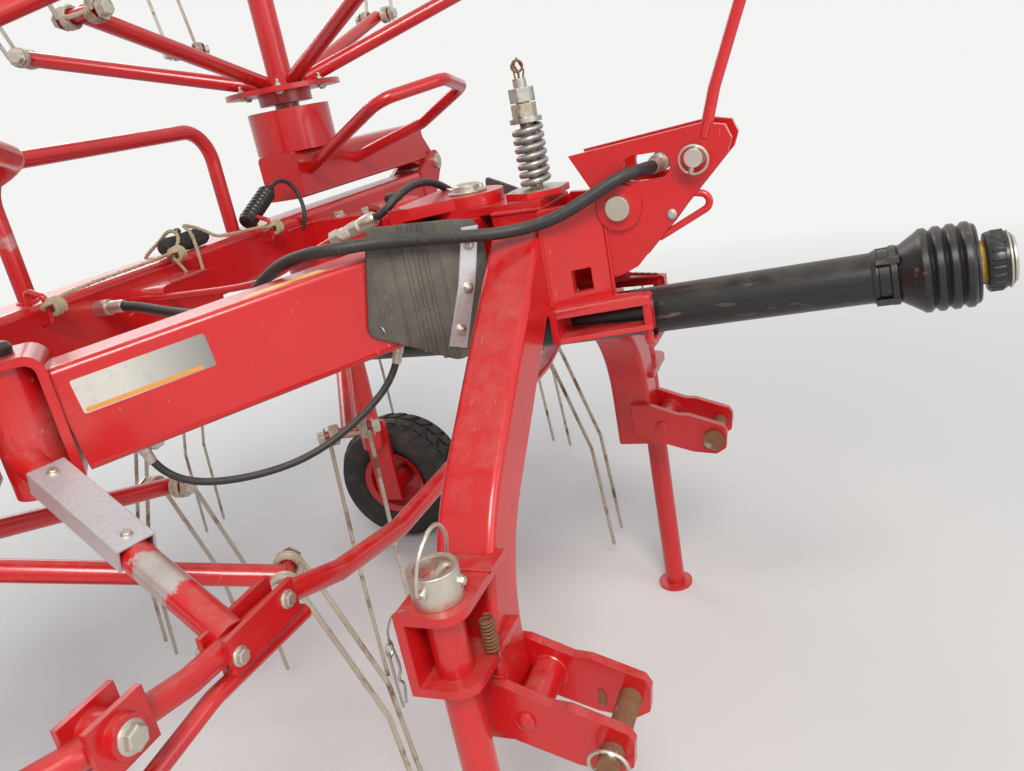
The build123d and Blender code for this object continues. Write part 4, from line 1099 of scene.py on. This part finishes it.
class TEDDER_OT_frame_trim(Operator):
    """Bolts of the guards, the links and the covers, the blank label, the marking film and the knobs"""
    bl_idname = "tedder.frame_trim"
    bl_label = "Frame trim"

    def execute(self, context):
        bolts = Shape("guard_bolts", "zinc", "frame")
        for x, z, size, half in ((602, 727, 9, 20), (689, 719, 9, 20), (836, 752, 13, 30)):
            bolts.bolt((x, RAIL_Y - half, z), (0, -1, 0), size)
            bolts.bolt((x, RAIL_Y + half, z), (0, 1, 0), size, 16)
        bolts.done(both=True)
        Shape("link_bolts", "zinc", "frame").bolt(
            (596, 700, 985), UP, 15).bolt((596, 780, 985), UP, 15).done(both=True)
        Shape("column_knobs", "black_plastic", "frame").turned(
            (533, 582, 1009), UP, [(0, 12), (1, 20), (10, 21), (16, 17), (19, 9)]).done(both=True)
        self.label()
        self.cover_bolts()
        return {"FINISHED"}

    def label(self):
        """The blank label with its orange band on the near arm, and the yellow film along the arm's top."""
        for name, look, low, high, lift, corner in (
                ("arm_label", "blank_label", (22, 22), (192, 68), 0.5, 4.0),
                ("arm_label_band", "orange_band", (26, 61), (176, 66.5), 0.8, 0.8)):
            corners = [arm_place(s, d, 0.0) for s, d in (low, (high[0], low[1]), high, (low[0], high[1]))]
            Shape(name, look, "frame").slab(rounded(corners, corner), NEAR_OUT * lift, 0.2).done()
        edge = [arm_place(s, 0, 0.2) - NEAR_OUT * inward + Vector((0, 0, 0.1))
                for s, inward in ((250, 12), (372, 12), (364, 30), (270, 30))]
        Shape("arm_film", "yellow_film", "frame").slab(edge, (0, 0, 0.5), 0.2).done()

    def cover_bolts(self):
        """Two bolts that hold each galvanised cover to its stay."""
        head = Vector((553, 583, 884))
        along = (Vector((673, 205, 727)) - head).normalized()
        across = Vector(UP).cross(along).normalized()
        out = along.cross(across)
        made = Shape("cover_bolts", "zinc", "frame")
        for far in (88, 242):
            made.bolt(head + along * far + out * COVER_R, out, 6)
        made.done(both=True)


def arm_place(along, down, out):
    """A place by the near arm's outer face: along from its rear, down from its top edge, and out of it."""
    rear = Vector((-495, 544, 913))
    front = Vector((-121, 170, 961))
    arm_half = 40
    arm_top = 71
    run = (front - rear).normalized()
    up = NEAR_OUT.cross(run).normalized()
    if up.z < 0:
        up = -up
    return rear + run * along + up * (arm_top - down) + NEAR_OUT * (arm_half + out)


class TEDDER_OT_shaft_trim(Operator):
    """The guard's clips, and the yoke's locking collar and ring"""
    bl_idname = "tedder.shaft_trim"
    bl_label = "Shaft trim"

    def execute(self, context):
        axis = Vector((0, math.cos(SHAFT_TILT), -math.sin(SHAFT_TILT)))

        def on_shaft(y):
            """The place on the shaft's axis that has a given y where the shaft is level."""
            return Vector((0, PIVOT_Y, SHAFT_Z)) + axis * (y - PIVOT_Y)

        def spokes(count, lead=0.0):
            """Directions out from the shaft, evenly all round."""
            for k in range(count):
                yield around(Vector(ACROSS), Vector(UP), math.tau * (k + lead) / count)

        clips = Shape("guard_clips", "black_plastic", "headstock")
        clips.turned(on_shaft(GUARD_FRONT - 1), axis, [
            (0, 36), (0, 39), (1.5, 41), (9, 41), (10.5, 39), (10.5, 36)], closed=True, sides=40)
        clips.turned(on_shaft(GUARD_FRONT + 24), axis, [
            (0, 34.5), (0, 37.4), (3, 37.8), (8, 36.2), (8, 34.5)], closed=True, sides=40)
        for side in spokes(4, 0.5):
            base = on_shaft(GUARD_FRONT - 2) + side * 39
            flat = side.cross(axis).normalized()
            tip = base + axis * 30
            clips.slab([base + flat * 7, base - flat * 7, tip - flat * 6, tip + flat * 6], side * 3.4, 1.0)
        clips.turned(on_shaft(BELL_RIM), axis, [(-3, 48.5), (-3, 51), (0, 53.2), (3, 51), (3, 48.5)],
                     closed=True, sides=40)
        clips.done()
        collar = Shape("yoke_collar", "black_plastic", "shaft_yoke")
        collar.turned(on_shaft(YOKE_FRONT + 4), axis, [
            (0, 29.4), (0, 33), (2, 35.5), (10, 36.5), (10, 38), (14, 39), (28, 39), (31, 37.4), (31, 29.4)],
            closed=True, sides=44)
        for side in spokes(22):
            rib = on_shaft(YOKE_FRONT + 15) + side * 38.8
            collar.bent([rib, rib + axis * 15], 1.7, 6)
        collar.done()
        lock = Shape("yoke_ring", "zinc", "shaft_yoke")
        lock.turned(on_shaft(YOKE_FRONT), axis, [
            (0, 17.8), (0, 29), (1.6, 31), (5, 31), (5, 17.8)], closed=True, sides=40)
        lock.bent(winding(on_shaft(YOKE_FRONT + 8), axis, 36.6), 1.6, 7, closed=True)
        lock.done()
        return {"FINISHED"}


# Weld beads, each along its own points
HEADSTOCK_BEADS = (
    ((66, 9, 1033), (66, 9, 992)), ((66, 10, 1034), (66, 90, 1034)), ((46, -74, 892), (46, -74, 996)),
    ((92, 10, 892), (92, 10, 1012)), ((474.5, 0, 580), (474.5, 78, 580)),
    ((474.5, 0, 688), (474.5, 78, 688)), ((474.5, 80, 584), (474.5, 80, 686)),
    ((475, 48, 470), (475, 48, 534)), ((475, 46, 536), (475, 12, 535)), ((395, 48, 470), (395, 48, 534)),
    ((60, 88, 1034), (60, 62, 1034)), ((46, -128, 890), (46, 8, 890)), ((112, 0, 890), (60, -118, 890)))
FRAME_BEADS = (
    ((100, 149, 892), (100, 149, 1032)), ((78, 198, 1034), (100, 206, 1034)),
    ((461, 578, 845), (461, 578, 984)), ((556, 826, 985), (440, 826, 985)),
    ((1170, 824, 1010), (1170, 824, 918)), ((75, 824, 780), (75, 824, 980)),
    ((46, 745, 986), (-46, 745, 986)))


class TEDDER_OT_welds(Operator):
    """The weld beads along the painted joints"""
    bl_idname = "tedder.welds"
    bl_label = "Welds"

    def execute(self, context):
        beads = Shape("headstock_welds", "red_paint", "headstock")
        for path in HEADSTOCK_BEADS:
            beads.weld(path)
        for cheek in (HITCH[0] - CHEEK_IN, HITCH[0] + CHEEK_IN):
            beads.bent(winding((cheek, *CLEVIS_PIN), ACROSS, 23), 2.6, 7, closed=True)
        beads.done(both=True)
        beads = Shape("frame_welds", "red_paint", "frame")
        for path in FRAME_BEADS:
            beads.weld(path)
        for x, z, radius, thick in (
                (HOOP_X - HOOP_HALF, 1016, 16.5, 2.8), (HOOP_X + HOOP_HALF, 1016, 16.5, 2.8),
                (-ROTOR_X, 904, 101, 3.2), (ROTOR_X, 904, 101, 3.2)):
            beads.bent(winding((x, BEAM_Y, z), UP, radius), thick, 7, closed=True)
        beads.done()
        return {"FINISHED"}


# A flap in its own plane: along from the middle, and up
FLAP_OUTLINE = [
    (140.3, 1004, 0), (148, 1039, 0), (186, 1047, 0), (308, 1062, 0), (338, 915, 0), (271, 876, 0),
    (214, 842, 0), (170, 850, 0), (140.3, 884, 0)]
STRIP_OUTLINE = [(146, 1030), (172, 1032), (194, 950), (226, 868), (200, 858), (166, 950)]
# The flap's ribs: along, low end, high end, depth in the rubber, radius, sides
FLAP_RIBS = (
    (233, 852.5, 1051.6, 0.6, 3.4, 10), (247, 860.9, 1053.322, 0.6, 3.4, 10),
    (261, 869.3, 1055.044, 0.6, 3.4, 10), (212, 850.0, 1046.0, 0.4, 1.6, 8),
    (282, 886.0, 1046.0, 0.4, 1.6, 8))


class TEDDER_OT_flaps(Operator):
    """The ribbed rubber flaps over the swivel"""
    bl_idname = "tedder.flaps"
    bl_label = "Flaps"

    def execute(self, context):
        shape = Shape("rubber_flaps", "rubber", "headstock")
        soft = rounded(FLAP_OUTLINE, 11)
        middle = sum(soft, Vector()) / len(soft)
        for side in SIDES.values():
            rings = []
            for off, inset in (
                    (FLAP_BACK, 0.8), (FLAP_BACK + 0.8, 0.0), (FLAP_FRONT - 1.2, 0.0), (FLAP_FRONT, 1.4)):
                edge = [p + (middle - p).normalized() * inset for p in soft]
                rings.append([flap_place(p.x, off, p.y, side) for p in edge])
            shape.skin(rings)
            for along, low, high, sink, radius, sides in FLAP_RIBS:
                heights = [low + (high - low) * k / 8 for k in range(9)]
                shape.bent([flap_place(along, FLAP_FRONT - sink, z, side) for z in heights], radius, sides)
        self.bend(shape, "flaps")
        strips = Shape("clamp_strips", "galvanised", "headstock", "zinc")
        bolts = Shape("strip_bolts", "zinc", "headstock")
        for side in SIDES.values():
            face = [flap_place(along, FLAP_FRONT, z, side) for along, z in STRIP_OUTLINE]
            strips.slab(face, flap_place(0, STRIP_T, 0, side), 0.8)
            for along, z in ((166, 1006), (180, 946), (203, 888)):
                bolts.bolt(flap_place(along, FLAP_FRONT + STRIP_T, z, side), (side, -1, 0), 7, 9)
        self.bend(strips, "flap_strips")
        self.bend(bolts)
        return {"FINISHED"}

    def bend(self, shape, node=None):
        """Cut a piece across the swivel's bend, and leave it set on no body."""
        for y in range(round(BEND_START) + 1, round(BEND_END) + 1, 4):
            shape.cut(y)
        made = shape.done(ride=False)
        if node:
            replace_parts(made, node)
        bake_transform(made)


def lamp(name, place, target, power, size, colour=(1, 1, 1)):
    """A square lamp at a place, aimed at a target."""
    data = bpy.data.lights.new(name, "AREA")
    data.energy = power
    data.color = colour
    data.size = size
    made = bpy.data.objects.new(name, data)
    made.location = place
    made.rotation_euler = (Vector(target) - Vector(place)).to_track_quat("-Z", "Y").to_euler()
    bpy.context.scene.collection.objects.link(made)


class TEDDER_OT_stage(Operator):
    """Make the floor, the backdrop light, the lamps and the camera"""
    bl_idname = "tedder.stage"
    bl_label = "Stage"

    def execute(self, context):
        scene = context.scene
        view = scene.tedder_view
        scene.view_settings.view_transform = "Standard"
        half = 40
        corners = [(-half, -half, 0), (half, -half, 0), (half, half, 0), (-half, half, 0)]
        mesh = bpy.data.meshes.new("floor")
        mesh.from_pydata(corners, [], [(0, 1, 2, 3)])
        floor = bpy.data.objects.new("floor", mesh)
        scene.collection.objects.link(floor)
        f = Finish("pale_floor")
        f.set(color=(0.74, 0.73, 0.71), rough=0.85, level=0.2)
        direct = f.node("ShaderNodeLightPath", {}, output="Is Camera Ray")
        far = f.distance((0, 0, 0)).between(1.6, 4.6) * direct
        glow = f.tree.nodes.new("ShaderNodeEmission")
        glow.inputs[0].default_value = (*view.backdrop, 1)
        fade = f.tree.nodes.new("ShaderNodeMixShader")
        f.join(far, fade.inputs[0])
        f.tree.links.new(f.shader.outputs[0], fade.inputs[1])
        f.tree.links.new(glow.outputs[0], fade.inputs[2])
        f.tree.links.new(fade.outputs[0], f.tree.nodes["Material Output"].inputs[0])
        mesh.materials.append(f.material)
        self.world(scene, (*view.backdrop, 1))
        lamp("key", (-4.2, -2.6, 5.2), (0.0, -0.2, 0.7), view.key, 2.2, (1.0, 0.96, 0.90))
        lamp("fill", (-1.5, -5.5, 2.4), (0.0, 0.0, 0.8), view.key * 0.22, 3.5, (0.9, 0.95, 1.0))
        lamp("rear", (3.5, 4.5, 4.0), (0.0, 0.2, 1.0), view.key * 0.35, 3.0)
        self.camera(scene, view)
        return {"FINISHED"}

    def camera(self, scene, view):
        """The camera at its place, turned, dipped and then rolled."""
        level = Vector((math.cos(view.yaw), math.sin(view.yaw), 0))
        forward = level * math.cos(view.dip) - Vector((0, 0, math.sin(view.dip)))
        right = Vector((math.sin(view.yaw), -math.cos(view.yaw), 0))
        up = right.cross(forward)
        leaned = right * math.cos(view.roll) + up * math.sin(view.roll)
        upright = up * math.cos(view.roll) - right * math.sin(view.roll)
        data = bpy.data.cameras.new("camera")
        data.lens = view.lens
        data.clip_start = 0.02
        camera = bpy.data.objects.new("camera", data)
        turn = Matrix((leaned, upright, -forward)).transposed().to_4x4()
        camera.matrix_world = Matrix.Translation(view.eye) @ turn
        scene.collection.objects.link(camera)
        scene.camera = camera

    def world(self, scene, backdrop):
        """A cool sky that lights the machine, behind a pale backdrop that is seen and reflected."""
        scene.world = bpy.data.worlds.new("studio")
        scene.world.use_nodes = True
        tree = scene.world.node_tree
        sky = tree.nodes["Background"]
        sky.inputs[0].default_value = (0.88, 0.92, 1.0, 1)
        sky.inputs[1].default_value = 0.42
        pale = tree.nodes.new("ShaderNodeBackground")
        pale.inputs[0].default_value = backdrop
        path = tree.nodes.new("ShaderNodeLightPath")
        seen = path.outputs["Is Camera Ray"]
        for kind in ("Is Glossy Ray", "Is Transmission Ray"):
            either = tree.nodes.new("ShaderNodeMath")
            either.operation = "MAXIMUM"
            tree.links.new(seen, either.inputs[0])
            tree.links.new(path.outputs[kind], either.inputs[1])
            seen = either.outputs[0]
        mix = tree.nodes.new("ShaderNodeMixShader")
        for socket, fed in zip(mix.inputs, (seen, sky.outputs[0], pale.outputs[0])):
            tree.links.new(fed, socket)
        tree.links.new(mix.outputs[0], tree.nodes["World Output"].inputs[0])


class TEDDER_PT_panel(Panel):
    """The tedder's sizes, colours and makers"""
    bl_idname = "TEDDER_PT_panel"
    bl_label = "Hay Tedder"
    bl_space_type = "VIEW_3D"
    bl_region_type = "UI"
    bl_category = "Tedder"

    def draw(self, context):
        for group in (context.scene.tedder_look, context.scene.tedder_sizes, context.scene.tedder_view):
            for name in group.__annotations__:
                self.layout.prop(group, name)
        for operator in OPERATORS:
            self.layout.operator(operator.bl_idname)


GROUPS = {"tedder_look": TedderLook, "tedder_sizes": TedderSizes, "tedder_view": TedderView}
OPERATORS = (TEDDER_OT_finishes, TEDDER_OT_hoses, TEDDER_OT_ropes, TEDDER_OT_fasteners, TEDDER_OT_flaps,
             TEDDER_OT_tines, TEDDER_OT_tyres, TEDDER_OT_frame_trim, TEDDER_OT_shaft_trim, TEDDER_OT_welds,
             TEDDER_OT_stage)


def register():
    for group in GROUPS.values():
        bpy.utils.register_class(group)
    for operator in OPERATORS:
        bpy.utils.register_class(operator)
    bpy.utils.register_class(TEDDER_PT_panel)
    for name, group in GROUPS.items():
        setattr(bpy.types.Scene, name, PointerProperty(type=group))


def unregister():
    for name in GROUPS:
        delattr(bpy.types.Scene, name)
    for made in (TEDDER_PT_panel, *reversed(OPERATORS), *reversed(list(GROUPS.values()))):
        bpy.utils.unregister_class(made)


def main():
    register()
    for operator in OPERATORS:
        group, name = operator.bl_idname.split(".")
        getattr(getattr(bpy.ops, group), name)()


if __name__ == "__main__":
    main()
